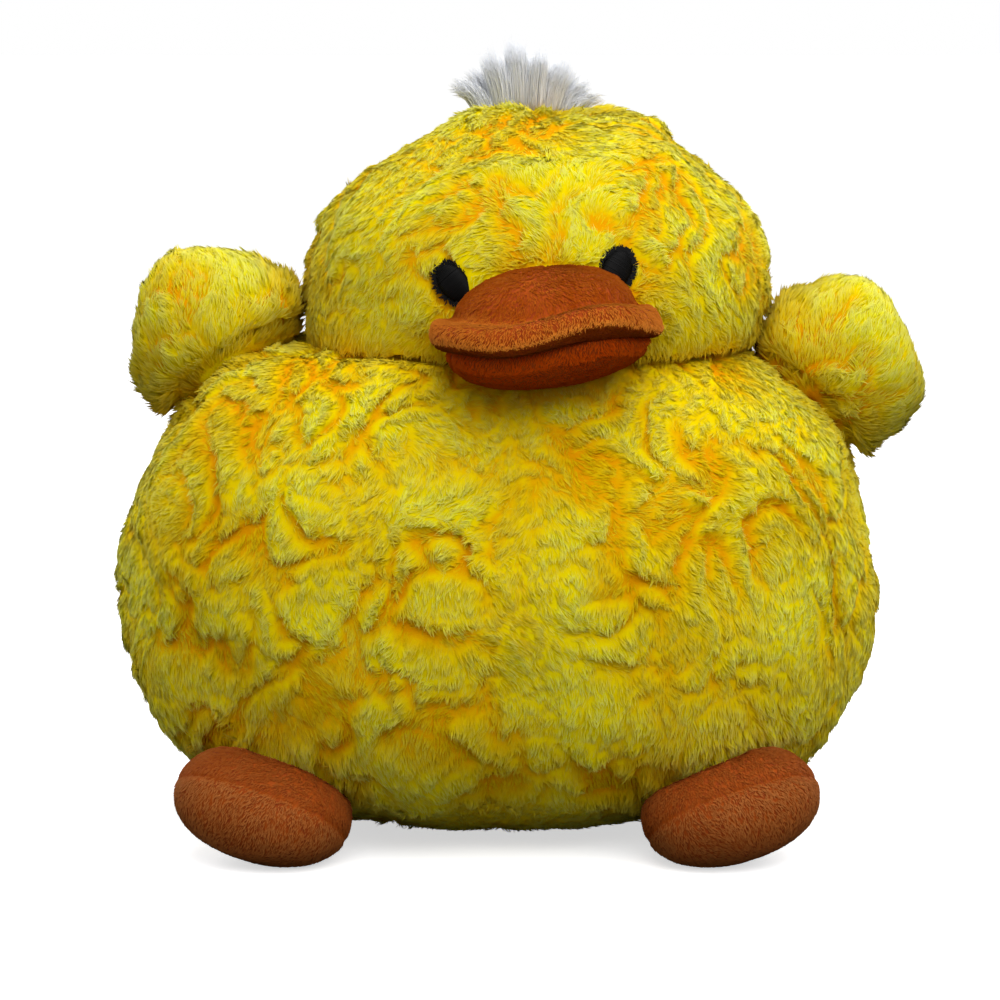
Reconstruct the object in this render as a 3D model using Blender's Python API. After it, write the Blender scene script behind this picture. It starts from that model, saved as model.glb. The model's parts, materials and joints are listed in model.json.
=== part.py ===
"""Plush duck: a stuffed body and head, two raised wings, two feet, a bill, stitched eyes and a white crest.

Metres, +Z up. The duck sits on z = 0 and faces -Y. Left and right are the duck's own, so left is +X.
Every stuffed part is a filling inside sewn cloth panels, which stay open where one part is sewn to another.
"""

import math
from dataclasses import dataclass, replace

import bmesh
import bpy
from mathutils import Matrix, Vector, noise

# Cloth, stuffing and the gaps between neighbours
PILE_CLOTH = 0.006  # knitted backing with its laid pile
WING_CLOTH = 0.005
NAP_CLOTH = 0.0016  # short-napped cloth of the bill and feet
SEAM_GAP = 0.0003
MOVING_GAP = 0.0006  # of the body from the parts that swing, lift or turn beside it
STUFFING_GAP = 0.0003
CUTTER_REACH = 0.3  # how far every cutter runs past what it cuts

# Soft lumps that the brushed pile stands in
LUMP_HEIGHT = 0.0055
LUMP_SIZE = 0.030
LUMP_FADE = 0.012  # how fast the lumps die out towards the neck, the seat and the face

# Body
BODY_HALF_WIDTH = 0.1075
BODY_FRONT = 0.086
BODY_BACK = 0.080
BODY_RISE = 0.084  # from the widest ring up to where the top would close
BODY_DROP = 0.066
BODY_FLAT = 0.0005  # depth that the seat is cut flat
BODY_PLAN_FULLNESS = 2.2
BODY_RISE_FULLNESS = 2.4
BODY_DROP_FULLNESS = 2.8
NECK_CUT = 0.0135  # from where the body's top would close down to the seam that the head is sewn to
CHEST_SEAM_OFFSET = 0.006
CHEST_CREASE_DEPTH = 0.005
CHEST_CREASE_WIDTH = 0.024
SIDE_SEAM_BACK = 0.005
BASE_PANEL_HALF_WIDTH = 0.062
BASE_PANEL_HALF_DEPTH = 0.047

# Head
HEAD_OFFSET = 0.0113  # the head sits a little to the duck's left
HEAD_CENTRE_RISE = 0.011  # above the neck seam
HEAD_LEAN_DEG = 4.5
HEAD_TURN_DEG = 10  # each way, on its stuffed neck
HEAD_HALF_WIDTH = 0.0665
HEAD_FRONT = 0.060
HEAD_BACK = 0.058
HEAD_RISE = 0.0555
HEAD_DROP = 0.034
HEAD_PLAN_FULLNESS = 2.15
HEAD_RISE_FULLNESS = 2.2
HEAD_DROP_FULLNESS = 2.2
CROWN_SEAM_BACK = 0.004

# Wings
WING_HALF_WIDTH = 0.025
WING_LENGTH = 0.024
WING_ROOT_DEPTH = 0.024
WING_HALF_THICKNESS = 0.019
WING_PLAN_FULLNESS = 2.2
WING_TIP_FULLNESS = 3
WING_ROOT_FULLNESS = 2.6
WING_SEAM_BACK = 0.001
WING_SWING_DEG = 15
WING_HEAD_GAP = 0.0016
LEFT_WING_LATITUDE_DEG = 36
LEFT_WING_LIFT_DEG = 25
RIGHT_WING_LATITUDE_DEG = 48
RIGHT_WING_LIFT_DEG = 10
LEFT_WING_SEAM_DEG = 35  # of the line across the wing's root, from upright
RIGHT_WING_SEAM_DEG = 60
LEFT_WING_OUT = 0.0085  # from the middle of the seam to the wing's widest ring
RIGHT_WING_OUT = 0.0035
LEFT_WING_UP = 0.0058
RIGHT_WING_UP = 0.006

# Feet
FOOT_HALF_LENGTH = 0.0255
FOOT_HALF_DEPTH = 0.0225
FOOT_RISE = 0.0155
FOOT_DROP = 0.014
FOOT_PLAN_FULLNESS = 2.3
FOOT_RISE_FULLNESS = 2.15
FOOT_AZIMUTH_DEG = -48
FOOT_LATITUDE_DEG = -42
FOOT_FORWARD = 0.0145  # from the sewn edge to the middle of the foot
FOOT_SPLAY_DEG = 13
FOOT_ROLL_DEG = 15
FOOT_SOLE_DROP = 0.0005
FOOT_SOLE_TURN_DEG = 30  # the sole faces a little forward
FOOT_LIFT_DEG = 15

# Bill
BILL_HALF_WIDTH = 0.0313
BILL_LENGTH = 0.033
BILL_HEIGHT = 0.015
BILL_RISE = -0.0012  # of the lip above the head's widest ring
BILL_OFFSET = 0.0017
BILL_PLAN_FULLNESS = 2.3
LIP_WAVE_HEIGHT = 0.0022
LIP_WAVE_LENGTH = 0.052
LIP_WAVE_CREST = 0.015
LIP_DROOP = 0.0022
LIP_DROOP_POWER = 4
UPPER_LINING_DROP = 0.0019
LOWER_BILL_HALF_WIDTH = 0.0265
LOWER_BILL_LENGTH = 0.026
LOWER_BILL_RISE = 0.0034
LOWER_BILL_DROP = 0.0102
LOWER_BILL_TUCK = 0.0024  # how far its edge runs up behind the rolled lip
LOWER_LINING_DROP = 0.0012
LOWER_BILL_PLAN_FULLNESS = 2.3
LOWER_BILL_EDGE_FULLNESS = 2.1
BILL_PROFILE_SHARES = (  # radius and height of each ring, from the dome by the rolled lip to the underside
    (0, 1),
    (0.26, 0.97),
    (0.47, 0.87),
    (0.63, 0.70),
    (0.73, 0.50),
    (0.77, 0.31),
    (0.80, 0.16),
    (0.86, 0.24),
    (0.93, 0.25),
    (0.98, 0.13),
    (1, -0.02),
    (0.98, -0.15),
    (0.92, -0.25),
    (0.83, -0.28),
    (0.68, -0.26),
    (0.4, -0.25),
    (0, -0.25),
)

# Eyes
EYE_HALF_LENGTH = 0.0065
EYE_HALF_WIDTH = 0.0043
EYE_HALF_THICKNESS = 0.0018
EYE_SINK = 0.0024
EYE_SLANT_DEG = 52
EYE_OUT_SHARE = 0.336
EYE_UP_SHARE = 0.207

# Crest
CREST_HALF_WIDTH = 0.0125
CREST_HALF_DEPTH = 0.0055
CREST_PAD_RISE = 0.0055
CREST_PAD_SINK = 0.004
CREST_OFFSET = 0.002
CREST_ROW_SHARE = 0.25  # of the pad's half depth, from the crown seam to each row of locks
LOCK_HALF_WIDTH = 0.0046
LOCK_HALF_THICKNESS = 0.0034
LOCK_LENGTH = 0.025
LOCK_WIDEST_SHARE = 0.62  # of a lock's length, from its root
LOCK_SHORTER_SHARE = 0.14  # that the locks at the ends of a row lose
LOCK_FAN_DEG = 58
LOCK_ROW_LEAN_DEG = 13
LOCKS_IN_ROW = 6

# Segments round and rings from pole to pole
BODY_DETAIL = (60, 28)
BODY_INNER_DETAIL = (20, 10)
HEAD_DETAIL = (36, 18)
HEAD_INNER_DETAIL = (20, 10)
LIMB_DETAIL = (20, 10)
LIMB_INNER_DETAIL = (12, 8)
EYE_DETAIL = (12, 6)
PAD_DETAIL = (12, 6)
LOCK_DETAIL = (8, 6)
BILL_SEGMENTS = 32
TURN_STEPS = 5  # places of a neighbour that a moving part is cut clear of

ROUND = 2  # the fullness of a circle or an ellipse

YELLOW_PILE = "E6D936"
YELLOW_FIBRE = "F2EFE2"
ORANGE_NAP = "B3560F"
DARK_NAP = "8A3206"
BROWN_NAP = "954A1C"
BLACK_THREAD = "0B0A0A"
WHITE_PILE = "F1F3F6"


@dataclass(frozen=True)
class Form:
    """A stuffed form round its widest ring: its half sizes, and how full its outlines are."""

    half_width: float
    front: float
    back: float
    rise: float
    drop: float
    plan_fullness: float
    rise_fullness: float
    drop_fullness: float

    def point(self, unit):
        """The place on the form of a point on the unit sphere."""
        top = unit.z > 0
        fullness = self.rise_fullness if top else self.drop_fullness
        flat = math.hypot(unit.x, unit.y)
        if flat < 1e-6:
            return Vector((0, 0, math.copysign(self.rise if top else self.drop, unit.z)))
        ring = flat ** (2 / fullness)
        across = squared_off(unit.x / flat, self.plan_fullness)
        along = squared_off(unit.y / flat, self.plan_fullness)
        depth = self.back if unit.y > 0 else self.front
        height = self.rise if top else self.drop
        return Vector(
            (
                self.half_width * ring * across,
                depth * ring * along,
                height * squared_off(unit.z, fullness),
            )
        )

    def at(self, azimuth_deg, latitude_deg):
        """The place on the form in a direction, with azimuth from +X and latitude from the widest ring."""
        azimuth = math.radians(azimuth_deg)
        latitude = math.radians(latitude_deg)
        level = math.cos(latitude)
        return self.point(
            Vector((level * math.cos(azimuth), level * math.sin(azimuth), math.sin(latitude)))
        )

    def front_at(self, across, up):
        """The front of the form at a place across and up from its middle."""
        ring = (1 - (abs(up) / self.rise) ** self.rise_fullness) ** (1 / self.rise_fullness)
        side = abs(across) / (self.half_width * ring)
        return -self.front * ring * (1 - side**self.plan_fullness) ** (1 / self.plan_fullness)


BODY = Form(
    BODY_HALF_WIDTH,
    BODY_FRONT,
    BODY_BACK,
    BODY_RISE,
    BODY_DROP,
    BODY_PLAN_FULLNESS,
    BODY_RISE_FULLNESS,
    BODY_DROP_FULLNESS,
)
HEAD = Form(
    HEAD_HALF_WIDTH,
    HEAD_FRONT,
    HEAD_BACK,
    HEAD_RISE,
    HEAD_DROP,
    HEAD_PLAN_FULLNESS,
    HEAD_RISE_FULLNESS,
    HEAD_DROP_FULLNESS,
)
# A wing lies with its length up its own Z, its breadth along X and its thickness along Y
WING = Form(
    WING_HALF_WIDTH,
    WING_HALF_THICKNESS,
    WING_HALF_THICKNESS,
    WING_LENGTH,
    WING_ROOT_DEPTH,
    WING_PLAN_FULLNESS,
    WING_TIP_FULLNESS,
    WING_ROOT_FULLNESS,
)
FOOT = Form(
    FOOT_HALF_LENGTH,
    FOOT_HALF_DEPTH,
    FOOT_HALF_DEPTH,
    FOOT_RISE,
    FOOT_DROP,
    FOOT_PLAN_FULLNESS,
    FOOT_RISE_FULLNESS,
    FOOT_RISE_FULLNESS,
)
LOWER_BILL = Form(
    LOWER_BILL_HALF_WIDTH,
    LOWER_BILL_LENGTH,
    LOWER_BILL_LENGTH,
    LOWER_BILL_RISE,
    LOWER_BILL_DROP,
    LOWER_BILL_PLAN_FULLNESS,
    LOWER_BILL_EDGE_FULLNESS,
    LOWER_BILL_EDGE_FULLNESS,
)
EYE = Form(
    EYE_HALF_LENGTH,
    EYE_HALF_WIDTH,
    EYE_HALF_WIDTH,
    EYE_HALF_THICKNESS,
    EYE_HALF_THICKNESS,
    ROUND,
    ROUND,
    ROUND,
)
CREST_PAD = Form(
    CREST_HALF_WIDTH,
    CREST_HALF_DEPTH,
    CREST_HALF_DEPTH,
    CREST_PAD_RISE,
    CREST_PAD_RISE,
    ROUND,
    ROUND,
    ROUND,
)


@dataclass(frozen=True)
class WingPose:
    """Where a wing is sewn on, how its seam and its length rise, and where its widest ring lies."""

    latitude_deg: float
    seam_deg: float
    lift_deg: float
    out: float
    up: float


LEFT_WING = WingPose(
    LEFT_WING_LATITUDE_DEG, LEFT_WING_SEAM_DEG, LEFT_WING_LIFT_DEG, LEFT_WING_OUT, LEFT_WING_UP
)
RIGHT_WING = WingPose(
    RIGHT_WING_LATITUDE_DEG, RIGHT_WING_SEAM_DEG, RIGHT_WING_LIFT_DEG, RIGHT_WING_OUT, RIGHT_WING_UP
)
BODY_CENTRE = Vector((0, 0, BODY_DROP - BODY_FLAT))
NECK_HEIGHT = BODY_CENTRE.z + BODY_RISE - NECK_CUT
HEAD_CENTRE = Vector((HEAD_OFFSET, 0, NECK_HEIGHT + HEAD_CENTRE_RISE))


def squared_off(value, fullness):
    """A sine or cosine, filled out as the form's outline is."""
    return math.copysign(abs(value) ** (2 / fullness), value)


def linear(hex_colour):
    """An sRGB hex colour as linear red, green, blue and alpha."""
    shares = [int(hex_colour[i : i + 2], 16) / 255 for i in (0, 2, 4)]
    return [c / 12.92 if c <= 0.04045 else ((c + 0.055) / 1.055) ** 2.4 for c in shares] + [1]


def cloth_material(name, hex_colour, roughness):
    material = bpy.data.materials.new(name)
    material.use_nodes = True
    shader = material.node_tree.nodes["Principled BSDF"]
    shader.inputs["Base Color"].default_value = linear(hex_colour)
    shader.inputs["Roughness"].default_value = roughness
    shader.inputs["Metallic"].default_value = 0
    return material


def clear_scene():
    for obj in list(bpy.data.objects):
        bpy.data.objects.remove(obj)


def crease_chest(point):
    """The front panels draw in along their seam, from the neck down to the widest ring."""
    if point.y > 0:
        return point
    across = (point.x - CHEST_SEAM_OFFSET) / CHEST_CREASE_WIDTH
    fade = max(0, min(1, point.z / (NECK_HEIGHT - BODY_CENTRE.z)))
    point.y += CHEST_CREASE_DEPTH * math.exp(-across * across) * math.sqrt(fade)
    return point


def lumpy(point, share):
    """The point moved out or in by soft lumps, by a share of their height."""
    height = LUMP_HEIGHT * share * noise.noise(point / LUMP_SIZE)
    return point + point.normalized() * height


def fade(distance):
    """Rises from 0 at an edge to 1 a little way from it."""
    return 1 - math.exp(-max(0, distance / LUMP_FADE))


def body_skin(point):
    """The body's outside: its chest crease, and lumps between the neck and the seat."""
    share = fade(NECK_HEIGHT - BODY_CENTRE.z - point.z) * fade(point.z + BODY_CENTRE.z)
    return lumpy(crease_chest(point), share)


def head_skin(point):
    """The head's outside: lumps that die out towards the neck and the face."""
    neck = fade(point.z + HEAD_CENTRE_RISE)
    face = Vector((BILL_OFFSET, -HEAD_FRONT, BILL_RISE))
    return lumpy(point, neck * fade((point - face).length - BILL_HALF_WIDTH))


def rounded_mesh(name, form, detail, shaped=None):
    """The mesh of a form, with an optional last change to each point."""
    bm = bmesh.new()
    bmesh.ops.create_uvsphere(bm, u_segments=detail[0], v_segments=detail[1], radius=1)
    for vert in bm.verts:
        point = form.point(vert.co)
        vert.co = shaped(point) if shaped else point
    return finished_mesh(name, bm)


def bill_mesh(name):
    """The upper bill: a dome that runs out into a rolled lip with a wave along it."""
    rings = len(BILL_PROFILE_SHARES) - 1
    bm = bmesh.new()
    bmesh.ops.create_uvsphere(bm, u_segments=BILL_SEGMENTS, v_segments=rings, radius=1)
    for vert in bm.verts:
        ring = round(math.acos(max(-1, min(1, vert.co.z))) / math.pi * rings)
        radius_share, height_share = BILL_PROFILE_SHARES[ring]
        flat = math.hypot(vert.co.x, vert.co.y) or 1
        across = radius_share * squared_off(vert.co.x / flat, BILL_PLAN_FULLNESS)
        along = radius_share * squared_off(vert.co.y / flat, BILL_PLAN_FULLNESS)
        point = Vector((BILL_HALF_WIDTH * across, BILL_LENGTH * along, BILL_HEIGHT * height_share))
        vert.co = wavy(point)
    return finished_mesh(name, bm)


def bill_region(name, seam, side, turn, place):
    """A cutter for the cloth above or below a seam that follows the lip's wave."""
    bm = bmesh.new()
    reach = BILL_LENGTH + NAP_CLOTH
    bmesh.ops.create_grid(bm, x_segments=BILL_SEGMENTS, y_segments=BILL_SEGMENTS, size=reach)
    for vert in bm.verts:
        vert.co = wavy(vert.co + Vector((0, 0, seam)))
    far = bmesh.ops.extrude_face_region(bm, geom=bm.faces[:])["geom"]
    far_verts = [element for element in far if isinstance(element, bmesh.types.BMVert)]
    bmesh.ops.translate(bm, vec=(0, 0, side * CUTTER_REACH), verts=far_verts)
    return helper(placed(name, finished_mesh(name, bm), turn, place))


def wavy(point):
    """A point of the bill, moved by the wave along its lip and the droop of its corners."""
    across = point.x / BILL_HALF_WIDTH
    rim = min(1, across * across + (point.y / BILL_LENGTH) ** 2)
    turn = math.tau * (point.x - LIP_WAVE_CREST) / LIP_WAVE_LENGTH
    wave = rim * LIP_WAVE_HEIGHT * math.cos(turn)
    droop = LIP_DROOP * abs(across) ** LIP_DROOP_POWER
    return point + Vector((0, 0, wave - droop))


def finished_mesh(name, bm):
    bmesh.ops.recalc_face_normals(bm, faces=bm.faces)
    mesh = bpy.data.meshes.new(name)
    bm.to_mesh(mesh)
    bm.free()
    mesh.shade_smooth()
    return mesh


def placed(name, mesh, parent=None, matrix=None):
    """An object with this mesh, in its parent's frame."""
    obj = bpy.data.objects.new(name, mesh)
    bpy.context.scene.collection.objects.link(obj)
    obj.parent = parent
    obj.matrix_local = matrix or Matrix()
    return obj


def pivot(name, matrix, parent=None):
    """An empty on a joint's axis, or one that carries what is built in its frame."""
    obj = placed(name, None, parent, matrix)
    obj.empty_display_size = WING_HALF_WIDTH
    return obj


def helper(obj):
    """A cutter: it shapes other pieces and isn't one itself."""
    obj.hide_render = True
    obj.display_type = "WIRE"
    return obj


def swell(obj, distance):
    """Moves the surface out along its normals, or in where the distance is negative."""
    modifier = obj.modifiers.new("Swell", "DISPLACE")
    modifier.mid_level = 0
    modifier.strength = distance
    return obj


def cutter(name, mesh, parent, matrix, distance):
    return swell(helper(placed(name, mesh, parent, matrix)), distance)


def block(name, low=None, high=None, parent=None, matrix=None):
    """A block cutter that runs past the duck on every side but those given, each by its axis."""
    corners = [[-CUTTER_REACH] * 3, [CUTTER_REACH] * 3]
    for corner, faces in zip(corners, (low, high)):
        for axis, place in (faces or {}).items():
            corner["xyz".index(axis)] = place
    low_corner, high_corner = map(Vector, corners)
    bm = bmesh.new()
    bmesh.ops.create_cube(bm, size=1)
    bmesh.ops.scale(bm, vec=high_corner - low_corner, verts=bm.verts)
    bmesh.ops.translate(bm, vec=(high_corner + low_corner) / 2, verts=bm.verts)
    return helper(placed(name, finished_mesh(name, bm), parent, matrix))


def boolean(obj, other, operation="DIFFERENCE"):
    modifier = obj.modifiers.new(f"{operation.title()} {other.name}", "BOOLEAN")
    modifier.solver = "MANIFOLD"  # the exact solver loses panels here where flat cuts cross
    modifier.operation = operation
    if isinstance(other, bpy.types.Collection):
        modifier.operand_type = "COLLECTION"
        modifier.collection = other
    else:
        modifier.object = other


def node(name, mesh, material, parent=None, matrix=None, within=(), clear_of=(), swollen=0):
    """A piece of the duck: a form kept within some cutters and clear of others."""
    obj = placed(name, mesh.copy(), parent, matrix)
    obj.data.materials.append(material)
    if swollen:
        swell(obj, swollen)
    for other in within:
        boolean(obj, other, "INTERSECT")
    for other in clear_of:
        boolean(obj, other)
    return obj


def turned_cutters(name, sources, pivot_matrix, axis, low_deg, high_deg):
    """Copies of what a part moves beside, turned back through the part's range about its axis."""
    group = bpy.data.collections.new(name)
    bpy.context.scene.collection.children.link(group)
    for source in sources:
        for step in range(TURN_STEPS):
            share = step / (TURN_STEPS - 1)
            angle = math.radians(low_deg + (high_deg - low_deg) * share)
            turn = pivot_matrix @ Matrix.Rotation(-angle, 4, axis) @ pivot_matrix.inverted()
            copy = source.copy()
            copy.name = f"{source.name}_{name}_{step}"
            copy.parent = None
            copy.matrix_world = turn @ source.matrix_world
            group.objects.link(copy)
    return group


def build_body(pile, fibre):
    """Two front panels, a back panel and a base panel round the filling."""
    centre = Matrix.Translation(BODY_CENTRE)
    outer = rounded_mesh("body_form", BODY, BODY_DETAIL, body_skin)
    inner = rounded_mesh("body_inner_form", BODY, BODY_INNER_DETAIL, crease_chest)
    lining = cutter("body_lining_cutter", inner, None, centre, -PILE_CLOTH)
    half_gap = SEAM_GAP / 2
    above_neck = block("neck_cutter", low={"z": NECK_HEIGHT})
    below_seat = block("seat_cutter", high={"z": 0})
    front_side = SIDE_SEAM_BACK - half_gap
    left_side = CHEST_SEAM_OFFSET + half_gap
    right_side = CHEST_SEAM_OFFSET - half_gap
    front_left = block("front_left_region", low={"x": left_side}, high={"y": front_side})
    front_right = block("front_right_region", high={"x": right_side, "y": front_side})
    back = block("back_region", low={"y": SIDE_SEAM_BACK + half_gap})
    base_hole = oval_cutter("base_hole", half_gap)
    base = oval_cutter("base_region", -half_gap)
    trims = (lining, above_neck, below_seat)
    for name, region in (
        ("body_front_left_panel", front_left),
        ("body_front_right_panel", front_right),
        ("body_back_panel", back),
    ):
        node(name, outer, pile, None, centre, within=(region,), clear_of=trims + (base_hole,))
    node("body_base_panel", outer, pile, None, centre, within=(base,), clear_of=(lining, below_seat))
    node(
        "body_filling",
        inner,
        fibre,
        None,
        centre,
        clear_of=(above_neck,),
        swollen=-PILE_CLOTH - STUFFING_GAP,
    )
    return cutter("body_cutter", outer, None, centre, MOVING_GAP)


def oval_cutter(name, margin):
    """The base panel's outline, through the bottom of the body."""
    bm = bmesh.new()
    bmesh.ops.create_cone(
        bm,
        cap_ends=True,
        segments=BODY_DETAIL[0],
        radius1=1,
        radius2=1,
        depth=1,
    )
    size = (BASE_PANEL_HALF_WIDTH + margin, BASE_PANEL_HALF_DEPTH + margin, BODY_CENTRE.z)
    bmesh.ops.scale(bm, vec=size, verts=bm.verts)
    return helper(placed(name, finished_mesh(name, bm)))


def build_head(pile, fibre, turn):
    """A face panel and a back panel, sewn over the crown, round the filling."""
    outer = rounded_mesh("head_form", HEAD, HEAD_DETAIL, head_skin)
    inner = rounded_mesh("head_inner_form", HEAD, HEAD_INNER_DETAIL)
    lining = cutter("head_lining_cutter", inner, turn, None, -PILE_CLOTH)
    half_gap = SEAM_GAP / 2
    below_neck = block("head_seat_cutter", high={"z": NECK_HEIGHT + SEAM_GAP})
    face = block("face_region", high={"y": CROWN_SEAM_BACK - half_gap}, parent=turn)
    nape = block("nape_region", low={"y": CROWN_SEAM_BACK + half_gap}, parent=turn)
    pockets = tuple(eye_pocket(side, turn) for side in (-1, 1))
    node(
        "head_front_panel",
        outer,
        pile,
        turn,
        within=(face,),
        clear_of=(lining, below_neck) + pockets,
    )
    node("head_back_panel", outer, pile, turn, within=(nape,), clear_of=(lining, below_neck))
    node(
        "head_filling",
        inner,
        fibre,
        turn,
        clear_of=(below_neck,),
        swollen=-PILE_CLOTH - STUFFING_GAP,
    )
    return cutter("head_cutter", outer, turn, None, SEAM_GAP)


def eye_matrix(side):
    """The middle of an eye in the head's frame: Z out of the face, X along the eye towards the bill."""
    across = side * EYE_OUT_SHARE * HEAD_HALF_WIDTH
    up = EYE_UP_SHARE * HEAD_RISE
    step = EYE_HALF_WIDTH
    place = Vector((across, HEAD.front_at(across, up), up))
    beside = Vector((across + step, HEAD.front_at(across + step, up), up)) - place
    above = Vector((across, HEAD.front_at(across, up + step), up + step)) - place
    out = beside.cross(above).normalized()
    slant = math.radians(EYE_SLANT_DEG)
    along = Vector((-side * math.cos(slant), 0, -math.sin(slant)))
    along = (along - out * along.dot(out)).normalized()
    turned = Matrix((along, out.cross(along), out)).transposed().to_4x4()
    return Matrix.Translation(place - out * EYE_SINK) @ turned


def eye_pocket(side, turn):
    """The dent in the pile that the stitching draws in, open to the front."""
    opening = EYE_SINK + EYE_HALF_THICKNESS
    form = replace(
        EYE,
        half_width=EYE_HALF_LENGTH + SEAM_GAP,
        front=EYE_HALF_WIDTH + SEAM_GAP,
        back=EYE_HALF_WIDTH + SEAM_GAP,
        rise=opening + opening,
        drop=EYE_HALF_THICKNESS + SEAM_GAP,
    )
    name = "left_eye_pocket" if side > 0 else "right_eye_pocket"
    return helper(placed(name, rounded_mesh(name, form, EYE_DETAIL), turn, eye_matrix(side)))


def build_eyes(thread, turn):
    for side, name in ((1, "left_eye"), (-1, "right_eye")):
        node(name, rounded_mesh(name, EYE, EYE_DETAIL), thread, turn, eye_matrix(side))


def build_bill(nap, dark_nap, fibre, turn, head_cutter, chest):
    """An upper and a lower bill, each a cover over a lining with filling between, sewn to the face."""
    half_gap = SEAM_GAP / 2
    root = Vector((BILL_OFFSET, HEAD.front_at(BILL_OFFSET, BILL_RISE), BILL_RISE))
    place = Matrix.Translation(root)
    upper = bill_mesh("upper_bill_form")
    seam = -UPPER_LINING_DROP
    bill_set(
        "upper_bill",
        upper,
        (nap, dark_nap, fibre),
        turn,
        place,
        bill_region("upper_bill_top", seam + half_gap, 1, turn, place),
        bill_region("upper_bill_under", seam - half_gap, -1, turn, place),
        (head_cutter,),
    )
    upper_cutter = cutter("upper_bill_cutter", upper, turn, place, SEAM_GAP)
    lip_drop = BILL_HEIGHT * -min(height for _, height in BILL_PROFILE_SHARES)
    under = lip_drop + SEAM_GAP + LOWER_BILL_RISE - LOWER_BILL_TUCK
    place = Matrix.Translation(root - Vector((0, 0, under)))
    seam = -LOWER_LINING_DROP
    bill_set(
        "lower_bill",
        rounded_mesh("lower_bill_form", LOWER_BILL, LIMB_DETAIL, wavy),
        (dark_nap, dark_nap, fibre),
        turn,
        place,
        bill_region("lower_bill_under", seam - half_gap, -1, turn, place),
        bill_region("lower_bill_top", seam + half_gap, 1, turn, place),
        (head_cutter, upper_cutter, chest),
    )


def bill_set(name, mesh, materials, turn, place, cover_side, lining_side, neighbours):
    """The cover, lining and filling of one half of the bill."""
    cover_material, lining_material, fibre = materials
    lining_cutter = cutter(f"{name}_lining_cutter", mesh, turn, place, -NAP_CLOTH)
    clear_of = (lining_cutter,) + neighbours
    node(f"{name}_cover", mesh, cover_material, turn, place, (cover_side,), clear_of)
    node(f"{name}_lining", mesh, lining_material, turn, place, (lining_side,), clear_of)
    inside = -NAP_CLOTH - STUFFING_GAP
    node(f"{name}_filling", mesh, fibre, turn, place, clear_of=neighbours, swollen=inside)


def build_crest(white, turn, head_cutter):
    """A tuft of long white pile: locks fanned out in two rows from a pad in the crown seam."""
    place = Matrix.Translation(Vector((CREST_OFFSET, CROWN_SEAM_BACK, HEAD_RISE - CREST_PAD_SINK)))
    pad = rounded_mesh("crest_pad_form", CREST_PAD, PAD_DETAIL)
    locks = bpy.data.collections.new("crest_locks")
    bpy.context.scene.collection.children.link(locks)
    for row in (-1, 1):
        for place_in_row in range(LOCKS_IN_ROW):
            share = 2 * place_in_row / (LOCKS_IN_ROW - 1) - 1
            lock = helper(placed(f"crest_lock_{row}_{place_in_row}", lock_mesh(share), turn))
            lean = Matrix.Rotation(math.radians(-row * LOCK_ROW_LEAN_DEG), 4, "X")
            fan = Matrix.Rotation(math.radians(share * LOCK_FAN_DEG), 4, "Y")
            along = share * (CREST_HALF_WIDTH - LOCK_HALF_WIDTH)
            root = Vector((along, row * CREST_ROW_SHARE * CREST_HALF_DEPTH, 0))
            lock.matrix_local = place @ Matrix.Translation(root) @ lean @ fan
            locks.objects.link(lock)
    crest = node("crest_tuft", pad, white, turn, place)
    boolean(crest, locks, "UNION")
    boolean(crest, head_cutter)


def lock_mesh(share):
    """A plump lock that stands on its root, a little shorter at the ends of its row."""
    length = LOCK_LENGTH * (1 - LOCK_SHORTER_SHARE * abs(share))
    widest = LOCK_WIDEST_SHARE * length
    form = Form(
        LOCK_HALF_WIDTH,
        LOCK_HALF_THICKNESS,
        LOCK_HALF_THICKNESS,
        length - widest,
        widest,
        ROUND,
        ROUND,
        ROUND,
    )
    return rounded_mesh("crest_lock_form", form, LOCK_DETAIL, lambda point: point + Vector((0, 0, widest)))


def across_basis(side, rise_deg):
    """Z out to one side at a rise, X at right angles to it in the plane across the duck."""
    rise = math.radians(rise_deg)
    out = Vector((side * math.cos(rise), 0, math.sin(rise)))
    up = Vector((-side * math.sin(rise), 0, math.cos(rise)))
    return Matrix((up, out.cross(up), out)).transposed().to_4x4()


def wing_matrices(side, pose):
    """A wing's seam, with the swing's axis along X, and the wing's middle in the seam's frame."""
    place = BODY_CENTRE + BODY.at(0, pose.latitude_deg)
    place.x *= side
    seam = Matrix.Translation(place) @ across_basis(side, pose.seam_deg)
    form = Matrix.Translation(place) @ across_basis(side, pose.lift_deg)
    form = form @ Matrix.Translation((pose.up, 0, pose.out))
    return seam, seam.inverted() @ form


def build_wing(name, side, pose, pile, fibre, neighbours):
    """A front and a back panel round the filling, sewn on along a line that the wing swings about."""
    matrix, place = wing_matrices(side, pose)
    root = pivot(f"{name}_swing", matrix)
    bpy.context.view_layer.update()
    swing = WING_SWING_DEG
    neighbours = turned_cutters(f"{name}_neighbours", neighbours, matrix, "X", -swing, swing)
    outer = rounded_mesh(f"{name}_form", WING, LIMB_DETAIL)
    inner = rounded_mesh(f"{name}_inner_form", WING, LIMB_INNER_DETAIL)
    lining = cutter(f"{name}_lining_cutter", inner, root, place, -WING_CLOTH)
    half_gap = SEAM_GAP / 2
    # A wing's own Y points forward on the left side and back on the right
    seam = -side * WING_SEAM_BACK
    low = block(f"{name}_low_region", high={"y": seam - half_gap}, parent=root)
    high = block(f"{name}_high_region", low={"y": seam + half_gap}, parent=root)
    front, back = (high, low) if side > 0 else (low, high)
    clear_of = (lining, neighbours)
    node(f"{name}_front_panel", outer, pile, root, place, (front,), clear_of)
    node(f"{name}_back_panel", outer, pile, root, place, (back,), clear_of)
    inside = -WING_CLOTH - STUFFING_GAP
    node(f"{name}_filling", inner, fibre, root, place, clear_of=(neighbours,), swollen=inside)


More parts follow.
